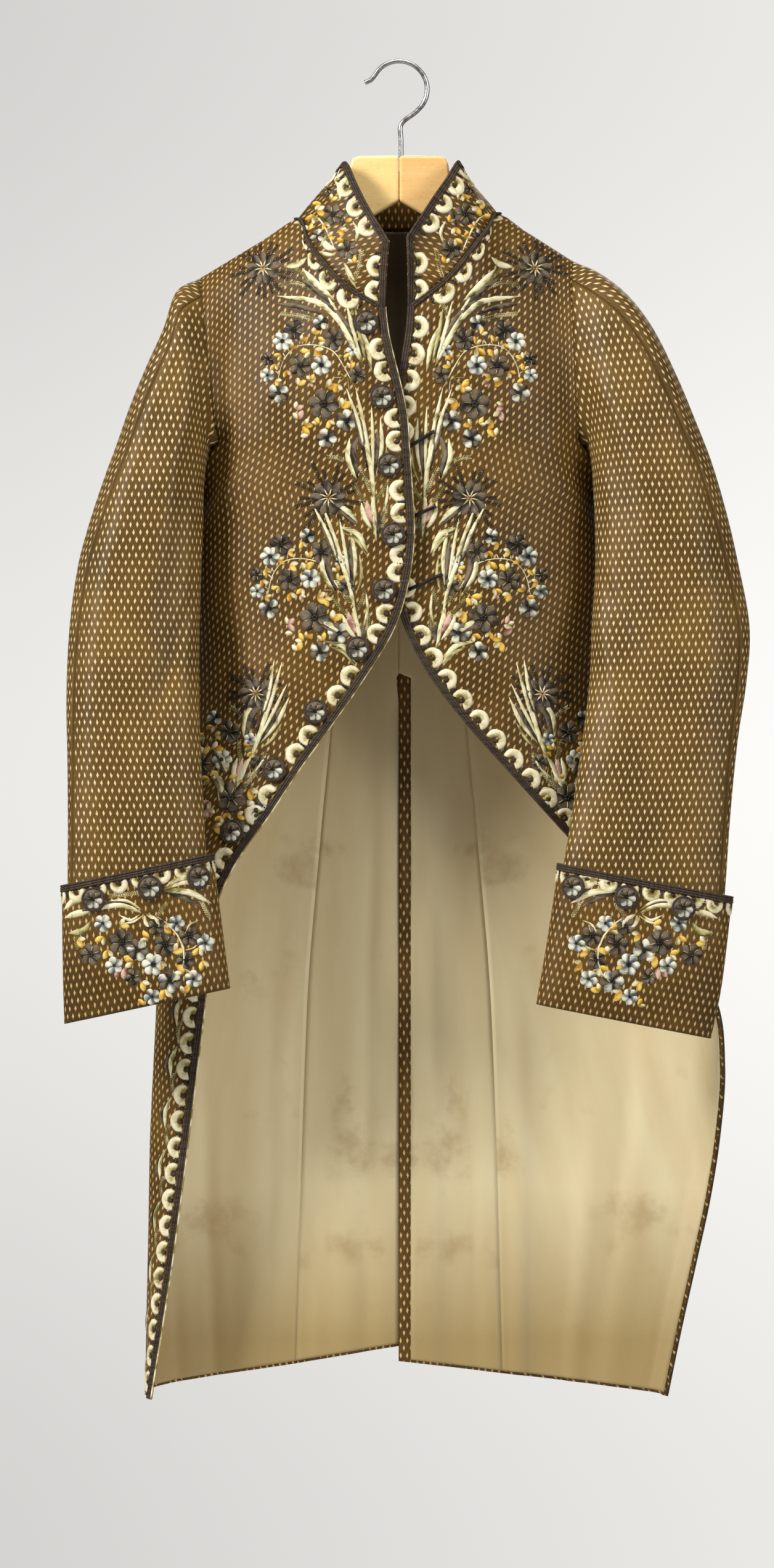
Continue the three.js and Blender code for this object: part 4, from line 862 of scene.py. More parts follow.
def cords(name, lines, material, sides=8):
    """Round cords swept along lines, each (points, radius)."""
    vertices, faces, uv = [], [], []
    angles = np.arange(sides) * 2 * math.pi / sides
    for points, radius in lines:
        tangent = unit(np.gradient(points, axis=0))
        first = unit(np.cross(tangent, (0.31, 0.87, 0.38)))  # square to the cord, and never near to it
        second = np.cross(tangent, first)
        base = sum(len(v) for v in vertices)
        along = lengths(points)
        ring = first[:, None] * np.cos(angles)[:, None] + second[:, None] * np.sin(angles)[:, None]
        vertices.append((points[:, None] + ring * radius).reshape(-1, 3))
        for i in range(len(points) - 1):
            for k in range(sides):
                after = (k + 1) % sides
                a, b = base + i * sides, base + (i + 1) * sides
                faces.append((a + k, b + k, b + after, a + after))
                low, high = k / sides, (k + 1) / sides
                uv += [(low, along[i]), (low, along[i + 1]), (high, along[i + 1]), (high, along[i])]
        for i, order in ((0, 1), (len(points) - 1, -1)):
            faces.append([base + i * sides + k for k in range(sides)][::order])
            uv += [(0.5, along[i])] * sides
    return mesh_object(name, np.vstack(vertices), faces, material, uv)


def chenille():
    """Silk chenille cord, dark grey-brown and dull, its short pile catching the light in flecks. The tufts
    are drawn 3 mm round the cord by 1.9 mm along it, so that they show."""
    made, surface = new_material("chenille_braid")
    place = add_node(made, "UVMap", CLOTH_MAP)
    pile = add_node(made, "Mapping", Vector=place, Scale=(2400.0, 520.0, 1.0))
    flecks = add_node(made, "TexNoise", Vector=pile, Scale=1.0, Detail=3.0, Roughness=0.6)
    ramp = add_node(made, "ValToRGB", {"shades": ((0.3, "#1c1510"), (0.76, "#5f5041"))}, Fac=flecks)
    bump = add_node(made, "Bump", Strength=0.8, Distance=0.0004, Height=flecks)
    plug(surface, Base_Color=ramp, Normal=bump, Roughness=0.65, Specular_IOR_Level=0.2)
    return made


CORD_ROWS = (0.3, 2.5, 4.6)  # each cord's distance in from the edge
NECK_ROWS = (1.0, 3.2)
CORD_RADIUS, CORD_LIFT, CORD_STEP = 1.15, 0.75, 3.0
chenille_cord = chenille()


def edge_rows(points, normals, inward, rows=CORD_ROWS):
    """The cords of a braid along an edge. inward is 1 if the cloth is on the right of the line."""
    lines = (offset_line(points, normals, distance * inward, CORD_LIFT) for distance in rows)
    return [(smoothed(line, CORD_STEP), CORD_RADIUS) for line in lines]


for half in (LEFT, RIGHT):
    side, out = half["side"], half["out"]
    high, low = half["front"]
    edge = np.vstack([high.points[:, -1], low.points[1:, -1]])
    edge_normals = np.vstack([high.normals[:, -1], low.normals[1:, -1]])
    neck, neck_normals = (part[0, neck_start(half) :] for part in (high.points, high.normals))
    half["edge"], half["neck"] = (edge, edge_normals), (neck, neck_normals)
    rows = edge_rows(edge, edge_normals, -out) + edge_rows(neck, neck_normals, -out, NECK_ROWS)
    braid = cords(f"front_braid_cords_{side}", rows, chenille_cord)
    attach(braid, "root")
    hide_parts(f"front_braid_{side}")
    cuff = half["cuff"]
    top_rows = edge_rows(cuff.points[0], cuff.normals[0], -out)
    braid = cords(f"cuff_braid_cords_{side}", top_rows, chenille_cord)
    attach(braid, "root")
    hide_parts(f"cuff_braid_{side}")

around = np.vstack([collar.points[::-1, 0], collar.points[0, 1:], collar.points[1:, -1]])
around_normals = np.vstack([collar.normals[::-1, 0], collar.normals[0, 1:], collar.normals[1:, -1]])
braid = cords("collar_braid_cords", edge_rows(around, around_normals, -1), chenille_cord)
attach(braid, "root")
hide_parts("collar_braid")


# ---------------------------------------------------------------- embroidery
# Worked by hand in floss silk before the coat was made up: satin stitch for the leaves, petals and the
# border's horseshoes, and knots of dark chenille. Each stitched shape is a low padded relief sewn on its
# cloth, given in mm out from the middle and up, and worked on both halves.
THREADS = {
    "cream": ("#93813f", "#e0d19c", "#fdf2cc"), "pale_blue": ("#545753", "#b6b9a8", "#f4f0da"),
    "grey": ("#1a140e", "#3b3023", "#76664e"), "dark": ("#0f0c0a", "#1d1814", "#3c342c"),
    "yellow": ("#a66f0a", "#dda322", "#f8da70"), "olive": ("#665c2a", "#9d9250", "#d0c88a"),
    "rose": ("#6d3f30", "#b37a68", "#e4bda6"), "straw": ("#6e6534", "#d0c48c", "#f7efc4"),
}
ACROSS = np.array((-1.0, -0.6, 0.0, 0.6, 1.0))
PADDING = np.array((0.0, 0.82, 1.0, 0.82, 0.0))
SUNK = 0.25  # how far a stitched shape's base lies in its cloth
CLEAR_OF_COAT = 400  # a depth in front of it all, and behind it
stitched = {name: ([], [], []) for name in THREADS}
chance = random.Random(1790)


def heading(angle):
    """One step out and up, at an angle from the upright."""
    return np.array((math.sin(angle), math.cos(angle)))


def tree_of(patches):
    """The patches as a tree of faces, to look places up on."""
    points, faces, _, _ = join_patches(patches)
    return BVHTree.FromPolygons(points.tolist(), [list(map(int, f)) for f in faces])


def on_face(patches, out, way=1):
    """Places given as (out, height), looked up on the face of a piece that looks to the front, or back."""
    tree = tree_of(patches)

    def place(flat):
        starts = [Vector((u * out, -CLEAR_OF_COAT * way, v)) for u, v in flat]
        hits = [tree.ray_cast(start, Vector((0, way, 0))) for start in starts]
        if any(hit[0] is None or hit[1][1] * way > -0.2 for hit in hits):
            return None
        return np.array([hit[0] for hit in hits]), np.array([hit[1] for hit in hits])

    return place


def on_edge(line, normals, patches, inward):
    """Places given as (distance along an edge, distance in from it). inward is 1 if the cloth is on its
    right."""
    tree = tree_of(patches)
    along = lengths(line)
    sideways = unit(np.cross(np.gradient(line, axis=0), normals) * inward)
    frame_lines = np.hstack([line, sideways, normals])

    def place(flat):
        s, d = np.asarray(flat).T
        if s.min() < 0 or s.max() > along[-1] or d.min() < 0:
            return None
        read = read_at(frame_lines, along, s)
        found = [tree.find_nearest(Vector(p)) for p in read[:, :3] + read[:, 3:6] * d[:, None]]
        faced = np.array([hit[1] for hit in found])
        faced *= np.sign((faced * read[:, 6:]).sum(1))[:, None]
        return np.array([hit[0] for hit in found]), faced

    place.length = along[-1]
    return place


def satin(thread, place, spine, widths, height=0.9, count=8):
    """A padded shape of satin stitch along a spine. It is left out where its cloth ends."""
    spine = np.array(spine, float)
    along = lengths(spine)
    at = np.linspace(0, along[-1], count)
    line = hermite(along, spine, at)
    way = unit(np.gradient(line, axis=0))
    wide = np.interp(at / along[-1], np.linspace(0, 1, len(widths)), widths) / 2
    offset = (wide[:, None] * ACROSS)[..., None]
    flat = line[:, None] + np.stack([-way[:, 1], way[:, 0]], 1)[:, None] * offset
    found = place(flat.reshape(-1, 2))
    if found is None:
        return
    points, normals = (f.reshape(count, 5, 3) for f in found)
    lift = np.sqrt(wide / wide.max())[:, None] * PADDING * height - SUNK
    points = points + normals * lift[..., None]
    turn = np.cross(points[2, 2] - points[1, 2], points[1, 3] - points[1, 2]) @ normals[1, 2]
    if turn < 0:
        points, offset = points[:, ::-1], offset[:, ::-1]
    slant = 0.3 if along[-1] > 5 * max(widths) else 1.0  # long shapes are worked nearly lengthwise
    vertices, faces, uv = stitched[thread]
    base = sum(len(v) for v in vertices)
    vertices.append(points.reshape(-1, 3))
    for i in range(count - 1):
        for k in range(5):
            after = (k + 1) % 5
            ring = ((i, k), (i + 1, k), (i + 1, after), (i, after))
            faces.append([base + r * 5 + c for r, c in ring])
            uv += [(at[r] * slant + 0.7 * offset[r, c, 0], offset[r, c, 0]) for r, c in ring]
    for row, order in ((0, 1), (count - 1, -1)):
        faces.append([base + row * 5 + k for k in range(5)][::order])
        uv += [(at[row], 0.0)] * 5


def knot(thread, place, centre, radius, height=1.3, sides=7):
    """A raised knot."""
    turns = np.arange(sides) * 2 * math.pi / sides
    ring = np.stack([np.sin(turns), np.cos(turns)], 1)
    flat = np.vstack([[(0, 0)], ring * radius * 0.6, ring * radius]) + centre
    found = place(flat)
    if found is None:
        return
    points, normals = found
    lift = np.concatenate([[height], np.full(sides, height * 0.75), np.full(sides, -SUNK)])
    points = points + normals * lift[:, None]
    turn = np.cross(points[1] - points[0], points[2] - points[0]) @ normals[0]
    order = 1 if turn > 0 else -1
    vertices, faces, uv = stitched[thread]
    base = sum(len(v) for v in vertices)
    vertices.append(points)
    for k in range(sides):
        after = (k + 1) % sides
        for face in ((0, 1 + k, 1 + after), (1 + k, 1 + sides + k, 1 + sides + after, 1 + after)):
            faces.append([base + f for f in face][::order])
            uv += [tuple(flat[f]) for f in face][::order]
    faces.append([base + 1 + sides + k for k in range(sides)][:: -order])
    uv += [(0.0, 0.0)] * sides


def leaf(thread, place, spine, width):
    """A long leaf, pointed at its tip."""
    satin(thread, place, spine, [width * 1.45 * share for share in (0.22, 0.8, 1, 0.85, 0.12)], 1.2, 9)


GRAIN_LEAN = math.sin(0.62), math.cos(0.62)
BIG_FLOWER = 8  # over this radius a flower has six petals and an eye of five knots


def ear(thread, place, spine, grain=3.4):
    """A wheat ear: short grains in pairs, leaning to the tip, along a fine stem."""
    spine = np.array(spine, float)
    along = lengths(spine)
    line = hermite(along, spine, np.arange(1.5, along[-1], grain * 0.62))
    satin(thread, place, spine, (0.6, 0.5), 0.5, 5)
    for start, (x, y) in zip(line, unit(np.gradient(line, axis=0))):
        for sine, cosine in ((-GRAIN_LEAN[0], GRAIN_LEAN[1]), GRAIN_LEAN):
            tip = np.array((x * cosine - y * sine, x * sine + y * cosine))
            satin(thread, place, (start + tip * 0.3, start + tip * grain), (0.5, 1.3, 0.4), 0.7, 4)


def flower(place, centre, radius, colours, petals=6):
    """An open flower: rounded petals, fine cream rays between the grey ones, and a dark knotted eye."""
    centre, turn = np.array(centre, float), chance.uniform(0, 2)
    width = 2 * radius * math.sin(math.pi / petals) * 0.8
    widths = [width * share for share in (0.3, 0.62, 0.9, 1.08, 1.0, 0.45)]
    for k in range(petals):
        angle = turn + 2 * math.pi * k / petals
        thread = colours[k % len(colours)]
        way = heading(angle) * radius
        satin(thread, place, (centre + way * 0.14, centre + way), widths, 1.1, 7)
        if thread != "pale_blue":
            way = heading(angle + math.pi / petals) * radius
            satin("cream", place, (centre + way * 0.26, centre + way * 0.74), (0.45, 0.75, 0.4), 1.4, 4)
    big = radius > BIG_FLOWER
    for k in range(5 if big else 1):
        middle = centre + heading(1.3 * k) * (radius * 0.13 if big else 0)
        knot("dark", place, middle, max(1.1, radius * 0.14), 1.7)


def bud(place, centre, size, thread="yellow"):
    """A rounded petal with a smaller cream one beside it, from one foot."""
    angle = chance.uniform(0, 2 * math.pi)
    size *= 1.2
    foot = centre - heading(angle) * size * 0.45
    for colour, lean, share in ((thread, -0.3, 1.0), ("cream", 0.75, 0.82)):
        widths = [size * share * w for w in (0.2, 0.6, 0.72, 0.62, 0.2)]
        satin(colour, place, (foot, foot + heading(angle + lean) * size * share), widths, 1.2, 6)


def cornflower(place, centre, radius=16.5):
    """Dark pointed petals round a cream star with a rose heart, and feathery chenille sprigs beyond."""
    centre = np.array(centre, float)
    for k in range(9):
        angle = 2 * math.pi * (k + chance.uniform(-0.12, 0.12)) / 9
        way = heading(angle) * radius
        leaf("grey", place, (centre + way * 0.25, centre + way), radius * 0.36)
        way = heading(angle + 0.35) * radius
        ear("dark", place, (centre + way * 0.6, centre + way * chance.uniform(1.55, 1.95)))
        satin("cream", place, (centre + way * 0.06, centre + way * 0.5), (0.7, 1.7, 0.4), 1.4, 5)
        way = heading(angle + 0.1) * radius
        ear("dark", place, (centre + way * 0.9, centre + way * chance.uniform(1.3, 1.6)), 3.0)
    for k in range(3):
        knot("rose", place, centre + 1.6 * heading(k * 2.1), 1.1, 1.6)


HORSESHOE = {"pitch": 24.0, "in": 10.6, "radius": 6.1, "band": 7.6}
FIRST_IN = 2.4  # a border made smaller draws in to this distance from its edge


def horseshoe(place, s, size=1.0):
    """One cream horseshoe of the border, open to the braid, with a dark dot in it."""
    turns = np.radians(np.linspace(-122, 122, 13))
    middle, radius = FIRST_IN + (HORSESHOE["in"] - FIRST_IN) * size, HORSESHOE["radius"] * size
    spine = [(s + 1.06 * radius * math.sin(t), middle + radius * math.cos(t)) for t in turns]
    widths = [HORSESHOE["band"] * size * (0.95 + 0.12 * abs(math.cos(2.5 * t))) for t in turns]
    satin("cream", place, spine, widths, 1.5, 17)
    knot("dark", place, (s, middle - 1.2), 2.4 * size, 1.5, 9)


def border(place, spots, size=1.0):
    """Horseshoes at these distances along an edge, with a bow of three dark knots after each."""
    for s, after in zip(spots, [*spots[1:], spots[-1] + HORSESHOE["pitch"] * size]):
        horseshoe(place, s, size)
        for inward, radius in ((6.9, 1.3), (9.4, 1.7), (11.9, 1.3)):
            where = ((s + after) / 2, FIRST_IN + (inward - FIRST_IN) * size)
            knot("dark", place, where, radius * size, 1.3)


def even_spots(start, stop, size=1.0):
    """Places for horseshoes evenly between two distances along an edge."""
    count = max(1, round((stop - start) / HORSESHOE["pitch"] / size))
    return [start + (stop - start) * (k + 0.5) / count for k in range(count)]


# An arched spray of flowers, each as out, height, radius and petals, with yellow and rose buds about it.
SPRAY_FLOWERS = (
    (95.5, -247, 10, "grey", "dark"), (71, -241, 7, "pale_blue", "dark"), (59.5, -256, 10.5, "grey"),
    (106, -257, 9, "pale_blue"), (119, -273, 6.5, "grey", "dark"), (119.5, -288, 6.5, "pale_blue"),
    (89.5, -279.5, 10.5, "grey"), (70.5, -279.5, 9.3, "pale_blue"), (109.5, -304, 9.5, "pale_blue", "grey"),
    (68.5, -315, 14, "grey"), (47.5, -330, 10, "pale_blue", "grey"), (65.5, -346, 9.2, "grey", "pale_blue"),
    (38, -288.5, 8, "grey"), (42, -266, 6, "pale_blue"),
)
SPRAY_BUDS = (
    (76, -249, 6), (86.5, -255, 6), (70, -257.5, 6.5), (96, -262, 5.5), (110, -271, 6), (85, -268, 7.5),
    (73, -268, 8), (46, -272, 6), (43.5, -280, 6), (113.5, -281, 6), (102, -287, 6), (110, -295, 6),
    (89, -295, 7), (80, -291, 6), (61, -298, 8.5), (49, -315, 9), (82.5, -333, 7), (75, -331, 6),
    (62.5, -333, 6.5), (85, -340.5, 8), (56, -301, 7),
)
SPRAY_ROSE_BUDS = ((91, -325, 8), (91.5, -317, 7), (79, -296, 5))
SPRIG_STEP = 5.5
SPRAY_STEM = ((42, -297), (48, -285), (60, -267), (78, -261), (94.5, -263), (105, -275), (110, -292))
# A sheaf of long leaves and wheat ears: across and along from its root, which grows beside the border.
SHEAF_LEAVES = (
    ("straw", ((2, 30), (5, 64), (11, 86), (13.5, 95)), 3.6),
    ("straw", ((18, 53), (25.5, 73), (24.5, 91)), 4.4),
    ("grey", ((17, 55), (21.5, 78), (15.5, 95)), 5.4), ("straw", ((4, 57), (14, 96), (27, 136)), 3.6),
    ("straw", ((4, 60), (11, 100), (19, 137)), 3.0), ("straw", ((3, 57), (3.5, 90), (4.5, 120)), 2.6),
    ("straw", ((1, 55), (-4.5, 82), (-3.5, 110)), 3.2), ("grey", ((1, 57), (-0.5, 80), (-1, 99)), 4.2),
    ("grey", ((8, 62), (12, 92), (14, 118)), 3.0), ("grey", ((10, 72), (18, 102), (24, 130)), 2.6),
    ("olive", ((-2, 50), (-8, 66), (-9, 84)), 2.2), ("straw", ((-3, 18), (-9, 34), (-10, 50)), 2.2),
    ("straw", ((0, -4), (2.5, 22), (2.5, 45)), 3.0),
    ("straw", ((36, 31), (28, 26), (17, 15)), 4.6), ("grey", ((36, 27), (27, 21), (17, 12)), 3.4),
    ("straw", ((34, 11), (17, 4), (8, -13)), 4.0), ("olive", ((30, 6), (17, -2), (9, -15)), 2.6),
    ("rose", ((2, 12), (7, 24), (9, 35)), 4.6), ("straw", ((0, 6), (2.5, 22), (4, 37)), 4.0),
    ("straw", ((4, 8), (11, 20), (14, 33)), 3.8), ("grey", ((0, 4), (-2.5, 14), (-2, 24)), 3.4),
)
SHEAF_EARS = (
    ("straw", ((4, 40), (9, 52), (14.5, 64))), ("olive", ((2, 33), (-5, 42), (-9.5, 51))),
    ("straw", ((-4, 8), (-7, 18), (-8.5, 29))), ("straw", ((1, 12), (5, 21), (9, 31))),
    ("straw", ((43, 74), (35, 73), (27, 70))), ("olive", ((6, 30), (14, 38), (20, 48))),
)
HEAD_LEAVES = (
    ("straw", ((32, -282), (50, -246), (66, -214)), 4.4), ("grey", ((33, -268), (53, -236), (76, -214)), 4.0),
    ("straw", ((38, -262), (70, -224), (111, -215)), 4.6),
    ("grey", ((70, -233), (92, -225), (111, -222)), 3.6),
    ("straw", ((33, -280), (42, -248), (48, -222)), 3.2),
    ("straw", ((25, -286), (29, -262), (37, -243)), 3.6),
    ("olive", ((30, -278), (36, -250), (40, -226)), 2.8),
    ("straw", ((58, -222), (76, -204), (88, -190)), 4.8),
    ("grey", ((60, -226), (80, -207), (94, -197)), 3.8),
    ("straw", ((104, -188), (92, -186), (84, -180)), 4.8),
)
HEAD_EARS = (
    ("straw", ((110, -231), (90, -234), (66, -241))), ("straw", ((111, -206), (96, -203), (78, -209))),
    ("olive", ((97, -186), (86, -197), (74, -208))), ("straw", ((44, -236), (40, -226), (37, -216))),
)


def turned(point, lean, root):
    """A point of a pattern leaned out from the upright, and set at a root."""
    (x, z), turn = point, math.radians(lean)
    sine, cosine = math.sin(turn), math.cos(turn)
    return root[0] + x * cosine + z * sine, root[1] + z * cosine - x * sine


def sheaf(place, root, lean, size=1.0):
    """The sheaf of leaves and ears from its root, leaning out from the upright."""
    for thread, spine, *width in (*SHEAF_LEAVES, *SHEAF_EARS):
        moved = [turned((size * x, size * z), lean, root) for x, z in spine]
        if width:
            leaf(thread, place, moved, width[0])
        else:
            ear(thread, place, moved[::-1] if moved[0][1] > moved[-1][1] else moved)


def work(place, flowers=(), buds=(), leaves=(), ears=(), moved=lambda x, z: (x, z), grown=(1, 1), few=5):
    """Flowers, buds, leaves and ears from their tables. A small flower has few petals. Flowers and buds may
    be grown."""
    for x, z, radius, *colours in flowers:
        flower(place, moved(x, z), radius * grown[0], colours, 6 if radius > BIG_FLOWER else few)
    for x, z, size in buds:
        bud(place, np.array(moved(x, z)), size * grown[1])
    for thread, spine, width in leaves:
        leaf(thread, place, [moved(x, z) for x, z in spine], width)
    for thread, spine in ears:
        ear(thread, place, [moved(x, z) for x, z in spine])


def spray(place, out, up, lean=0.0):
    """The arched spray, moved out and up, and turned about its root."""
    root = (42, -297)

    def moved(x, z):
        return turned((x - root[0], z - root[1]), lean, (root[0] + out, root[1] + up))

    stem = [moved(*p) for p in SPRAY_STEM]
    satin("cream", place, stem, (1.4, 1.2, 1.0, 0.8), 0.7, 26)
    along = lengths(stem)
    line = hermite(along, np.array(stem), np.arange(28, along[-1], SPRIG_STEP))
    for (x, z), (dx, dz) in zip(line, np.gradient(line, axis=0) / SPRIG_STEP):
        spine = ((x, z), (x - dz * 4 - dx * 2, z + dx * 4 - dz * 2))
        satin("cream", place, spine, (0.6, 1.5, 0.4), 0.7, 4)
    for dx, dz in ((-9, -6), (-12, 0), (-9, 6), (2, -14), (8, -10)):
        x, z = moved(root[0] + 5 - dx * 0.2, root[1] + 6)
        satin("cream", place, ((x, z), (x - dx * 0.8, z + dz)), (0.6, 0.8, 0.4), 0.6, 5)
    work(place, SPRAY_FLOWERS, SPRAY_BUDS, moved=moved)
    for x, z, size in SPRAY_ROSE_BUDS:
        bud(place, np.array(moved(x, z)), size, "rose")


BUTTON_CLEAR = 13.0  # how far a horseshoe keeps from a button's middle
TAIL_LEAVES = -760  # height where the tail's small leaves begin
CUFF_SIZE = 0.82  # the cuffs' horseshoes against the fronts'
CUFF_FLOWERS = (
    (277, -812, 9, "grey"), (266, -784, 7, "pale_blue"), (249, -801, 10.5, "grey"),
    (256, -822, 7, "pale_blue"),
    (235, -808, 9, "pale_blue", "grey"), (218, -786, 7.5, "grey"), (200, -784, 6.5, "pale_blue"),
    (188, -795, 8.5, "grey"), (210, -803, 9.5, "grey"), (221, -821, 9, "pale_blue"), (192, -817, 7.5, "grey"),
    (174, -802, 7, "pale_blue"), (185, -834, 7, "pale_blue"), (206, -836, 9.5, "grey", "pale_blue"),
    (222, -850, 6.5, "pale_blue"), (239, -832, 6.5, "grey"),
)
CUFF_BUDS = (
    (268, -799, 6), (262, -812, 6), (243, -818, 7), (228, -796, 6), (208, -789, 6),
    (199, -808, 7), (181, -810, 6),
    (197, -826, 7), (213, -822, 5), (211, -848, 7), (229, -840, 6), (192, -843, 6),
    (247, -785, 6), (286, -801, 6),
    (176, -822, 6), (232, -856, 5),
)
CUFF_LEAVES = (
    ("cream", ((231.8, -774.5), (250, -767.2), (270.9, -771.3)), 4.6),
    ("cream", ((230.6, -772.2), (245.4, -764), (260.2, -764)), 2.6),
    ("cream", ((275, -772.9), (288.7, -775.2), (301, -779.5)), 4.8),
    ("cream", ((281.4, -762.7), (293.2, -764.9), (301.4, -772.2)), 4.6),
    ("grey", ((265.9, -773.1), (279.6, -771.3), (288.7, -776.3)), 3.4),
    ("olive", ((276.1, -781.3), (283, -790.4), (297.3, -793.2)), 4.6),
    ("cream", ((232.9, -776.3), (240.9, -781.3), (251.1, -776.8)), 2.2),
    ("grey", ((233.6, -769.9), (250, -764.9), (268.2, -766.3)), 2.4),
    ("cream", ((211.3, -752.4), (197.6, -744), (177.6, -741.7)), 3.6),
    ("cream", ((211.3, -754), (191.9, -747.2), (169.4, -750.8)), 3.4),
    ("cream", ((210.1, -755.4), (188.5, -756.3), (168.9, -766.3)), 4.6),
    ("grey", ((209, -756.7), (191.9, -761.7), (178, -769.9)), 3.6),
    ("olive", ((212.4, -756.3), (199.9, -753.6), (184, -756.3)), 2.4),
    ("cream", ((227.2, -776.3), (217.6, -781.3), (215.4, -789.5)), 3.4),
    ("cream", ((228.3, -776.8), (227.2, -784.3), (222.2, -788.2)), 3.0),
    ("cream", ((179.4, -781.3), (188.5, -785.9), (193.1, -795)), 1.6),
    (
        "cream",
        ((227.2, -775.2), (215.8, -779), (206.7, -785.4), (195.3, -801.4), (193.1, -817.3), (199.9, -833.7),
         (215.8, -842.8)),
        1.4,
    ),
    ("cream", ((229.5, -776.8), (238.6, -782.7), (247.2, -784.1)), 1.6),
    ("cream", ((193.1, -808.2), (186.2, -806.8), (181.2, -803.6)), 1.3),
    ("cream", ((195.8, -824.1), (188.5, -827.5), (185.3, -833.2)), 1.3),
    ("rose", ((246.6, -824.1), (247.2, -828.7), (247.2, -834.6)), 4.4),
    ("rose", ((251.1, -826.4), (253.2, -829.6), (255.4, -832.3)), 4.0),
)
CUFF_EARS = (
    ("cream", ((231.8, -756.3), (245.4, -758.1), (258.6, -759.5))),
    ("cream", ((169.4, -780.4), (173, -774), (177.1, -765.8))),
    ("olive", ((288.2, -810), (289.6, -803.6), (290, -795.9))),
    ("cream", ((206.7, -764.9), (211.3, -769.5), (216.7, -776.8))),
)
COLLAR_FLOWERS = (
    (60, -141, 10, "grey"), (47, -174, 9.5, "grey"), (74, -160, 6.5, "pale_blue", "grey"),
    (64, -116, 6, "grey"),
)
COLLAR_BUDS = (
    (71, -137, 8), (80, -143, 8), (75, -130, 7), (52, -157, 7), (53, -167, 7), (82, -151, 6), (47, -146, 6),
    (67, -151, 6), (62, -161, 6), (42, -184, 6), (60, -125, 6),
)
COLLAR_LEAVES = (
    ("cream", ((57, -177), (64, -160), (72, -145), (83, -137)), 1.3),
    ("cream", ((57, -174), (66, -170), (69, -163)), 5.0),
    ("cream", ((50, -186), (46, -194), (40, -204)), 3.0),
    ("cream", ((60, -130), (66, -121), (70, -111)), 3.4),
    ("cream", ((54, -128), (54, -117), (59, -108)), 3.4),
    ("olive", ((70, -130), (77, -124), (85, -127)), 3.0),
    ("olive", ((51, -184), (46, -197), (38, -211)), 2.4),
    ("cream", ((66, -150), (75, -151), (85, -160)), 3.0),
    ("olive", ((62, -153), (66, -161), (72, -170)), 2.6), ("grey", ((52, -152), (48, -143), (46, -134)), 3.6),
    ("cream", ((58, -179), (66, -178), (73, -175)), 3.4), ("grey", ((80, -166), (86, -158), (89, -148)), 2.6),
    ("cream", ((40, -168), (38, -158), (42, -148)), 2.6),
    ("olive", ((49, -120), (47, -112), (50, -103)), 2.6),
    ("grey", ((64, -134), (70, -126), (76, -118)), 2.6),
)
CUFF_GROWN = (1.14, 1.25)  # its flowers and buds are larger than their table says
COLLAR_EARS = (("cream", ((42, -205), (37, -192), (34, -176))),)
buttons = {
    name: np.array([list(node.matrix_world @ v.co) for v in node.data.vertices])
    for name, node in sorted(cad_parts.items()) if "button" in name
}

for half in (LEFT, RIGHT):
    out = half["out"]
    edge, edge_normals = half["edge"]
    by_edge = on_edge(edge, edge_normals, half["front"], -out)
    spots = even_spots(6, by_edge.length - 2)
    if half["side"] == "right":  # two horseshoes between each two buttons, and an even row below them
        middles = [points.mean(0) / MM for name, points in buttons.items() if name.startswith("front")]
        places = sorted(lengths(edge)[np.argmin(np.linalg.norm(edge - p, axis=1))] for p in middles)
        spots = [a + (b - a) * share for a, b in zip(places, places[1:]) for share in (0.35, 0.67)]
        spots += even_spots(places[-1] + BUTTON_CLEAR, by_edge.length - 2)
    border(by_edge, spots)
    by_neck = on_edge(*half["neck"], half["front"], -out)
    border(by_neck, even_spots(2, by_neck.length - 20))
    front = on_face(half["front"], out)
    for middle, radius in (((124, -188.5), 16.5), ((64, -400), 17), ((130, -577), 16)):
        cornflower(front, middle, radius)
    work(front, leaves=HEAD_LEAVES, ears=HEAD_EARS)
    spray(front, 0, 0)
    spray(front, 9, -192, 3)
    spray(front, 88, -352, 10)
    sheaf(front, (20.5, -437), 0)
    sheaf(front, (33, -536), 8)
    sheaf(front, (150, -668), -28, 0.92)
    # Down the tail the border carries only pairs of small leaves.
    tail_start = lengths(edge)[np.argmin(np.abs(edge[:, 2] - TAIL_LEAVES))]
    for s in np.arange(tail_start, by_edge.length - 30, HORSESHOE["pitch"] * 2):
        leaf("straw", by_edge, ((s, 21), (s + 14, 27), (s + 30, 25)), 4.0)
        leaf("grey", by_edge, ((s + 3, 23), (s + 15, 31), (s + 28, 31)), 3.6)
        ear("straw", by_edge, ((s + 24, 20), (s + 34, 23), (s + 42, 21)))
    on_collar = on_face([Patch(left_grid if out > 0 else right_grid, out)], out)
    work(on_collar, COLLAR_FLOWERS, COLLAR_BUDS, COLLAR_LEAVES, COLLAR_EARS, few=6)
    cuff, shift = half["cuff"], 0 if out < 0 else -15
    by_cuff = on_edge(cuff.points[0], cuff.normals[0], [cuff], -out)
    border(by_cuff, even_spots(2, by_cuff.length - 2, CUFF_SIZE), CUFF_SIZE)
    for way in (1, -1):  # the cuff is worked in front and behind
        on_cuff = on_face([cuff], out, way)
        tables = CUFF_FLOWERS, CUFF_BUDS, CUFF_LEAVES, CUFF_EARS
        work(on_cuff, *tables, moved=lambda x, z: (x + shift, z), grown=CUFF_GROWN)


# The collar's border runs up one front edge, along the top and down the other.
by_rim = on_edge(around, around_normals, [collar], -1)
first, second = lengths(around)[[len(collar.points) - 1, len(around) - len(collar.points)]]
for start, stop in ((0, first - 10), (first + 10, second - 10), (second + 10, by_rim.length)):
    border(by_rim, even_spots(start + 2, stop - 2))


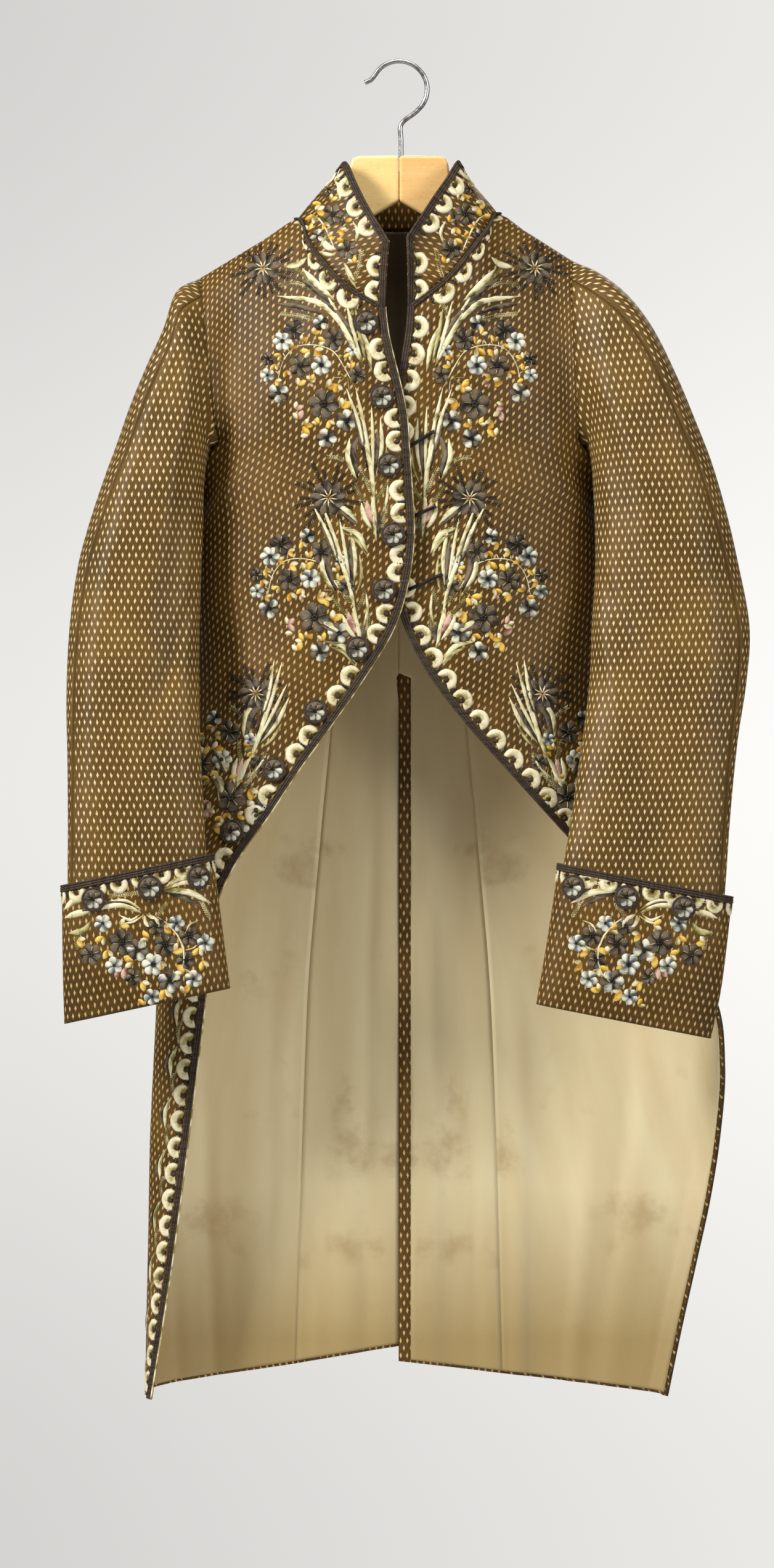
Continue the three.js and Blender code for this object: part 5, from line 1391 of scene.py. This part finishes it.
def floss(name, shades):
    """Floss silk laid in satin stitch: lustrous, with grooves and streaks along the threads, with painted
    shade at each shape's foot, and painted light along one side and painted shade along the other. The
    threads are drawn 0.7 mm wide, so that they show."""
    made, surface = new_material(name)
    place = add_node(made, "UVMap", CLOTH_MAP)
    turns = (2 * math.pi / (0.7 * MM), 0.0, 0.0)
    turn = add_node(made, "VectorMath", {"operation": "DOT_PRODUCT"}, i0=place, i1=turns).outputs["Value"]
    groove = add_node(made, "Math", {"operation": "SINE"}, i0=turn)
    bump = add_node(made, "Bump", Strength=0.55, Distance=0.0002, Height=groove)
    laid = add_node(made, "Mapping", Vector=place, Scale=(1300.0, 110.0, 1.0))
    streak = add_node(made, "TexNoise", Vector=laid, Scale=1.0, Detail=2.0)
    body = add_node(made, "TexCoord").outputs["Object"]
    cloud = add_node(made, "TexNoise", Vector=body, Scale=110.0, Detail=1.0)
    along, across = add_node(made, "SeparateXYZ", Vector=place).outputs[:2]
    # Painted shade at each shape's foot.
    foot = add_node(made, "MapRange", Value=along, i1=0.0, i2=0.005, i3=-0.28, i4=0.06)
    # Painted light along one side of each shape and painted shade along the other.
    side = add_node(made, "MapRange", Value=across, i1=-0.0016, i2=0.0016, i3=-0.09, i4=0.13)
    painted_foot_and_side_shading = add_node(made, "Math", ADD, i0=foot, i1=side)
    tone = add_node(made, "Math", MULTIPLY_ADD, i0=cloud, i1=0.9, i2=painted_foot_and_side_shading)
    both = add_node(made, "Math", MULTIPLY_ADD, i0=streak, i1=0.8, i2=tone)
    ramp = add_node(made, "ValToRGB", {"shades": list(zip((0.62, 0.8, 1.0), shades))}, Fac=both)
    plug(surface, Base_Color=ramp, Normal=bump, Roughness=0.36, Specular_IOR_Level=0.35)
    return made


floss_silk = {name: floss(f"floss_silk_{name}", shades) for name, shades in THREADS.items()}
for name, (vertices, faces, uv) in stitched.items():
    piece = mesh_object(f"embroidery_{name}", np.vstack(vertices), faces, floss_silk[name], uv)
    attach(piece, "root")


# ---------------------------------------------------------------- edge cord and thread bars
# A fine cream cord is oversewn along the right front's edge, and three bars of black thread left on the
# left front once held it shut.
EDGE_CORD_RADIUS, EDGE_CORD_STEP, BAR_RADIUS = 0.85, 2.5, 1.7
THREAD_BARS = ((20, -347, 12, 7.5), (23.5, -412, 10, 4.5), (24, -476, 15, 7))  # middle, and half its run
right_edge = smoothed(offset_line(*RIGHT["edge"], -0.9, 0.5), EDGE_CORD_STEP)
cord = cords("edge_cord", [(right_edge, EDGE_CORD_RADIUS)], floss_silk["cream"], 6)
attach(cord, "root")
on_left = on_face(LEFT["front"], 1)
lines, arch = [], 1.9 + np.cos(np.linspace(-1.5, 1.5, 9))  # a bar stands off the cloth, most at its middle
for out, height, reach, rise in THREAD_BARS:
    points, normals = on_left(np.array([(out + reach * t, height + rise * t) for t in np.linspace(-1, 1, 9)]))
    lines.append((points + normals * arch[:, None], BAR_RADIUS))
bars = cords("thread_bars", lines, floss_silk["dark"], 8)
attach(bars, "root")


# ---------------------------------------------------------------- buttons
# Turned wooden moulds, 22 mm wide, covered in silk and worked like the coat: coiled cord at the rim,
# and a flower of grey and cream petals round a dark knot. One mesh is used for all fifteen.
DOME_REACH, DOME_FOOT, DOME_RISE = 9.6, 1.9, 3.2
COIL_REACH, COIL_LIFT, COIL_RADIUS = 9.9, 2.1, 1.25


def button_mesh():
    """The covered mould, turned from its profile: a flat foot, a rounded rim and a dome."""
    profile = [(0.01, -0.2), (9.2, -0.2), (10.9, 0.6), (11.0, 1.5), (10.2, 2.3)]
    angles = np.linspace(math.pi / 2.4, 0.02, 9)
    profile += [(DOME_REACH * math.sin(a), DOME_FOOT + DOME_RISE * math.cos(a)) for a in angles]
    sides = 40
    turns = np.arange(sides) * 2 * math.pi / sides
    vertices = [(r * math.cos(t), r * math.sin(t), z) for r, z in profile for t in turns]
    faces = [
        (i * sides + k, i * sides + (k + 1) % sides, (i + 1) * sides + (k + 1) % sides, (i + 1) * sides + k)
        for i in range(len(profile) - 1) for k in range(sides)
    ]
    for row, order in ((0, -1), (len(profile) - 1, 1)):
        faces.append([row * sides + k for k in range(sides)][::order])
    return np.array(vertices), faces


def on_dome(flat):
    """Places on the dome, and the way up from it, which leans out a little."""
    share = np.linalg.norm(flat, axis=1) / DOME_REACH
    z = DOME_FOOT + DOME_RISE * np.sqrt(np.clip(1 - share**2, 0, 1))
    return np.column_stack([flat, z]), unit(np.column_stack([flat * 0.1 * DOME_RISE / DOME_REACH, share**0]))


def covering():
    """The silk wound over a button's mould: dark brown and half dull, mottled by its threads."""
    made, surface = new_material("button_silk")
    place = add_node(made, "TexCoord").outputs["Object"]
    wound = add_node(made, "TexNoise", Vector=place, Scale=900.0, Detail=2.0)
    brown = add_node(made, "ValToRGB", {"shades": ((0.32, "#231b14"), (0.7, "#524436"))}, Fac=wound)
    plug(surface, Base_Color=brown, Roughness=0.5, Sheen_Weight=0.2)
    return made


vertices, faces = button_mesh()
groups = [(vertices, faces, covering(), [(0.0, 0.0)] * sum(map(len, faces)))]
stitched.update({name: ([], [], []) for name in THREADS})
for k in range(7):
    angle = 2 * math.pi * k / 7
    way = heading(angle)
    thread = "pale_blue" if k in (2, 3, 4) else "grey"
    satin(thread, on_dome, (way * 1.2, way * 8.4), (1.6, 4.2, 6.4, 6.6, 3.0), 1.0, 7)
    way = heading(angle + 0.45)
    satin("cream", on_dome, (way * 2.2, way * 6.4), (0.4, 0.7, 0.4), 1.2, 4)
knot("dark", on_dome, (0, 0), 1.7, 1.4, 9)
for name in ("grey", "pale_blue", "cream", "dark"):
    vertices, faces, uv = stitched[name]
    groups.append((np.vstack(vertices), faces, floss_silk[name], uv))
parts = [mesh_object("button_part", *group) for group in groups]
turns = np.linspace(0, 2 * math.pi, 49)
coil = np.column_stack([COIL_REACH * np.cos(turns), COIL_REACH * np.sin(turns), np.full(49, COIL_LIFT)])
parts.append(cords("button_coil", [(coil, COIL_RADIUS)], chenille_cord))
joined = bmesh.new()
joined.loops.layers.uv.new("cloth")
for slot_number, part in enumerate(parts):
    start = len(joined.faces)
    joined.from_mesh(part.data)
    joined.faces.ensure_lookup_table()
    for face in joined.faces[start:]:
        face.material_index = slot_number
button = bpy.data.meshes.new("covered_button")
joined.to_mesh(button)
joined.free()
for part in parts:
    button.materials.append(part.data.materials[0])
    bpy.data.objects.remove(part)
for name, points in buttons.items():
    middle = points.mean(0)
    _, _, axes = np.linalg.svd(points - middle)  # the last is the button's own axis, across its flat shape
    facing = axes[2] * (-1 if axes[2][1] > 0 else 1)
    made = bpy.data.objects.new(f"covered_{name}", button)
    bpy.context.scene.collection.objects.link(made)
    made.rotation_mode = "QUATERNION"
    made.rotation_quaternion = Vector(facing).to_track_quat("Z", "Y")
    made.location = middle + facing * ((points - middle) @ facing).min()
    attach(made, "root")
    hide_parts(name)


# ---------------------------------------------------------------- hanger
# Two flat arms of varnished beech, mitred at the middle, with rounded edges, each swept a little back.
HANGER_THICK, HANGER_SWEEP, HANGER_ROUND = 13, 0.11, 3
HANGER_OUTLINE = (
    (0.15, -84.6), (37, -84.6), (43, -87), (45.3, -93), (46.5, -102), (50, -111), (55, -119), (62, -130),
    (70, -140), (82, -149.5), (94, -157), (114, -168.5), (138, -183), (157, -195.5), (165, -201), (170, -208),
    (171, -214), (168, -219.5), (160, -216.9), (150, -211.2), (120, -194.3), (80, -171.7), (40, -149.1),
    (0.15, -126.6),
)


def beech(name, warm, pale):
    """Steamed beech, flat sawn and varnished: pale orange, with fine flecks and a faint growth figure."""
    made, surface = new_material(name)
    place = add_node(made, "TexCoord").outputs["Object"]
    grain = add_node(made, "Mapping", Vector=place, Scale=(14.0, 60.0, 170.0), Rotation=(0.0, 0.35, 0.0))
    figure = add_node(made, "TexNoise", Vector=grain, Scale=1.0, Detail=4.0, Distortion=0.4)
    fleck = add_node(made, "Mapping", Vector=place, Scale=(240.0, 400.0, 1500.0))
    rays = add_node(made, "TexNoise", Vector=fleck, Scale=1.0, Detail=1.0)
    base = add_node(made, "MixRGB", Fac=figure, Color1=linear(warm), Color2=linear(pale))
    dark = add_node(made, "MapRange", Value=rays, i1=0.62, i2=0.75, i4=0.35)
    colour = add_node(made, "MixRGB", Fac=dark, Color1=base, Color2=linear("#b57434"))
    plug(surface, Base_Color=colour, Roughness=0.32, Coat_Weight=0.4, Coat_Roughness=0.12)
    return made


# One beech in two copies, with painted light: the right arm's, which faces the key light, is painted lighter
# and the left arm's darker.
beech_painted_lit_and_shaded = {
    "left": beech("beech_left_arm_painted_darker", "#f6b566", "#ffdc98"),
    "right": beech("beech_right_arm_painted_lighter", "#f9c672", "#ffe8a6"),
}
for out, side in ((1, "left"), (-1, "right")):
    ring = [(x * out, z) for x, z in HANGER_OUTLINE][::out]
    count = len(ring)
    sides = (-HANGER_THICK / 2, HANGER_THICK / 2)
    points = [(x, HANGER_SWEEP * abs(x) + y, z) for y in sides for x, z in ring]
    faces = [list(range(count))[::-1], list(range(count, 2 * count))]
    faces += [(k, (k + 1) % count, count + (k + 1) % count, count + k) for k in range(count)]
    arm = mesh_object(f"hanger_{side}_arm", points, faces, beech_painted_lit_and_shaded[side])
    built = bmesh.new()
    built.from_mesh(arm.data)
    bmesh.ops.recalc_face_normals(built, faces=built.faces)
    built.to_mesh(arm.data)
    built.free()
    soft = arm.modifiers.new("round", "BEVEL")
    soft.width, soft.segments, soft.limit_method = HANGER_ROUND * MM, 4, "ANGLE"
    soft.angle_limit = math.radians(60)
    arm.modifiers.new("faces", "WEIGHTED_NORMAL")
    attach(arm, "root")
    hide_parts(f"hanger_arm_{side}")


# ---------------------------------------------------------------- hook
# Polished steel wire, 4.4 mm thick: a straight stem out of the hanger's head, bent into a round bow.
WIRE_RADIUS, BOW_RADIUS, STEM_OUT = 2.2, 25.8, 1.9
BOW_MIDDLE = WIRE_RADIUS - BOW_RADIUS  # the inside of the bow's top is at zero


def polished_steel():
    """Polished steel wire, rubbed a little dull in patches by many rails."""
    made, surface = new_material("polished_steel")
    place = add_node(made, "TexCoord").outputs["Object"]
    rubbed = add_node(made, "TexNoise", Vector=place, Scale=320.0, Detail=3.0)
    gloss = add_node(made, "MapRange", Value=rubbed, i1=0.3, i2=0.7, i3=0.2, i4=0.4)
    dulled = add_node(made, "MixRGB", Fac=rubbed, Color1=linear("#b9b8b4"), Color2=linear("#dddddb"))
    plug(surface, Base_Color=dulled, Roughness=gloss, Metallic=1.0)
    return made


# The bow, in degrees round its middle and distance from it. Its tip bends out.
bow = [(turn, BOW_RADIUS) for turn in np.linspace(-52, 152, 10)] + [(162, 27.3), (169, 31.8)]
wire = [(STEM_OUT, 0, z) for z in (-86, -70, -56)]
for turn, reach in bow:
    turn = math.radians(turn)
    wire.append((reach * math.cos(turn), 0, BOW_MIDDLE + reach * math.sin(turn)))
hook = cords("hook_wire", [(smoothed(curve(wire)[0], 1.5), WIRE_RADIUS)], polished_steel(), sides=20)
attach(hook, "root")
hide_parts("hook")


# ---------------------------------------------------------------- floor
# A round of pale grey board on the floor under the coat, which hangs clear of it.
FLOOR, FLOOR_RADIUS = -1560, 1500
rim = np.linspace(0, 2 * math.pi, 96, endpoint=False)
board_points = [(FLOOR_RADIUS * math.cos(t), FLOOR_RADIUS * math.sin(t), FLOOR) for t in rim]
board, surface = new_material("pale_board")
plug(surface, Base_Color=linear("#dcdcdb"), Roughness=0.9)
floor = mesh_object("floor", board_points, [list(range(len(rim)))], board)


# ---------------------------------------------------------------- light and camera
# A large soft box to the left front, a weaker one on the right, one overhead and one behind.
def soft_box(name, place, aim, size, power, colour="#ffffff"):
    """A rectangular area light, turned to its aim."""
    light = bpy.data.lights.new(name, "AREA")
    light.shape, light.size, light.size_y = "RECTANGLE", *size
    light.energy, light.color = power, linear(colour)[:3]
    box = bpy.data.objects.new(name, light)
    bpy.context.scene.collection.objects.link(box)
    box.location = place
    box.rotation_euler = (Vector(aim) - Vector(place)).to_track_quat("-Z", "Y").to_euler()


soft_box("key", (-3.1, -2.1, 1.5), (0, 0, -0.6), (1.0, 1.4), 175)
soft_box("fill", (2.9, -3.0, 0.6), (0, 0, -0.7), (1.6, 2.2), 76)
soft_box("top", (0.0, -1.3, 2.4), (0, 0.1, -0.6), (2.4, 1.6), 50)
soft_box("rear", (0.4, 3.6, 1.4), (0, 0, -0.6), (2.2, 1.6), 42)

# The pale wall far behind is the world's own colour, a little brighter at mid height and to the right.
# It shows, but lights the coat only dimly.
scene = bpy.context.scene
world = bpy.data.worlds.new("studio")
world.use_nodes = True
ahead = add_node(world, "SeparateXYZ", Vector=add_node(world, "TexCoord").outputs["Generated"])
sideways = add_node(world, "MapRange", Value=ahead, i1=-0.056, i2=0.056, i3=0.83, i4=0.98)
away = add_node(world, "Math", {"operation": "ABSOLUTE"}, i0=ahead.outputs["Z"])
falling = add_node(world, "MapRange", SOFT, Value=away, i1=0.0, i2=0.12, i4=0.17)
bright = add_node(world, "Math", SUBTRACT, i0=sideways, i1=falling)
wall = add_node(world, "Background", Color=linear("#fffefb"), Strength=bright)
dim = add_node(world, "Background", Color=linear("#f4f2ee"), Strength=0.16)
seen = add_node(world, "LightPath").outputs["Is Camera Ray"]
either = add_node(world, "MixShader", i0=seen, i1=dim, i2=wall)
plug(world.node_tree.nodes["World Output"], Surface=either)
scene.world = world
lens = bpy.data.cameras.new("camera")
camera = bpy.data.objects.new("camera", lens)
scene.collection.objects.link(camera)
CAMERA_DISTANCE, SHOWN_HEIGHT, SENSOR = 6.0, 1.4246, 36
camera.location = (-0.011, -CAMERA_DISTANCE - 0.04, -0.659)
camera.rotation_euler = (math.pi / 2, 0, 0)
lens.sensor_width = SENSOR
lens.lens = SENSOR * CAMERA_DISTANCE / SHOWN_HEIGHT
scene.camera = camera
scene.view_settings.view_transform = "Standard"
scene.view_settings.look = "None"
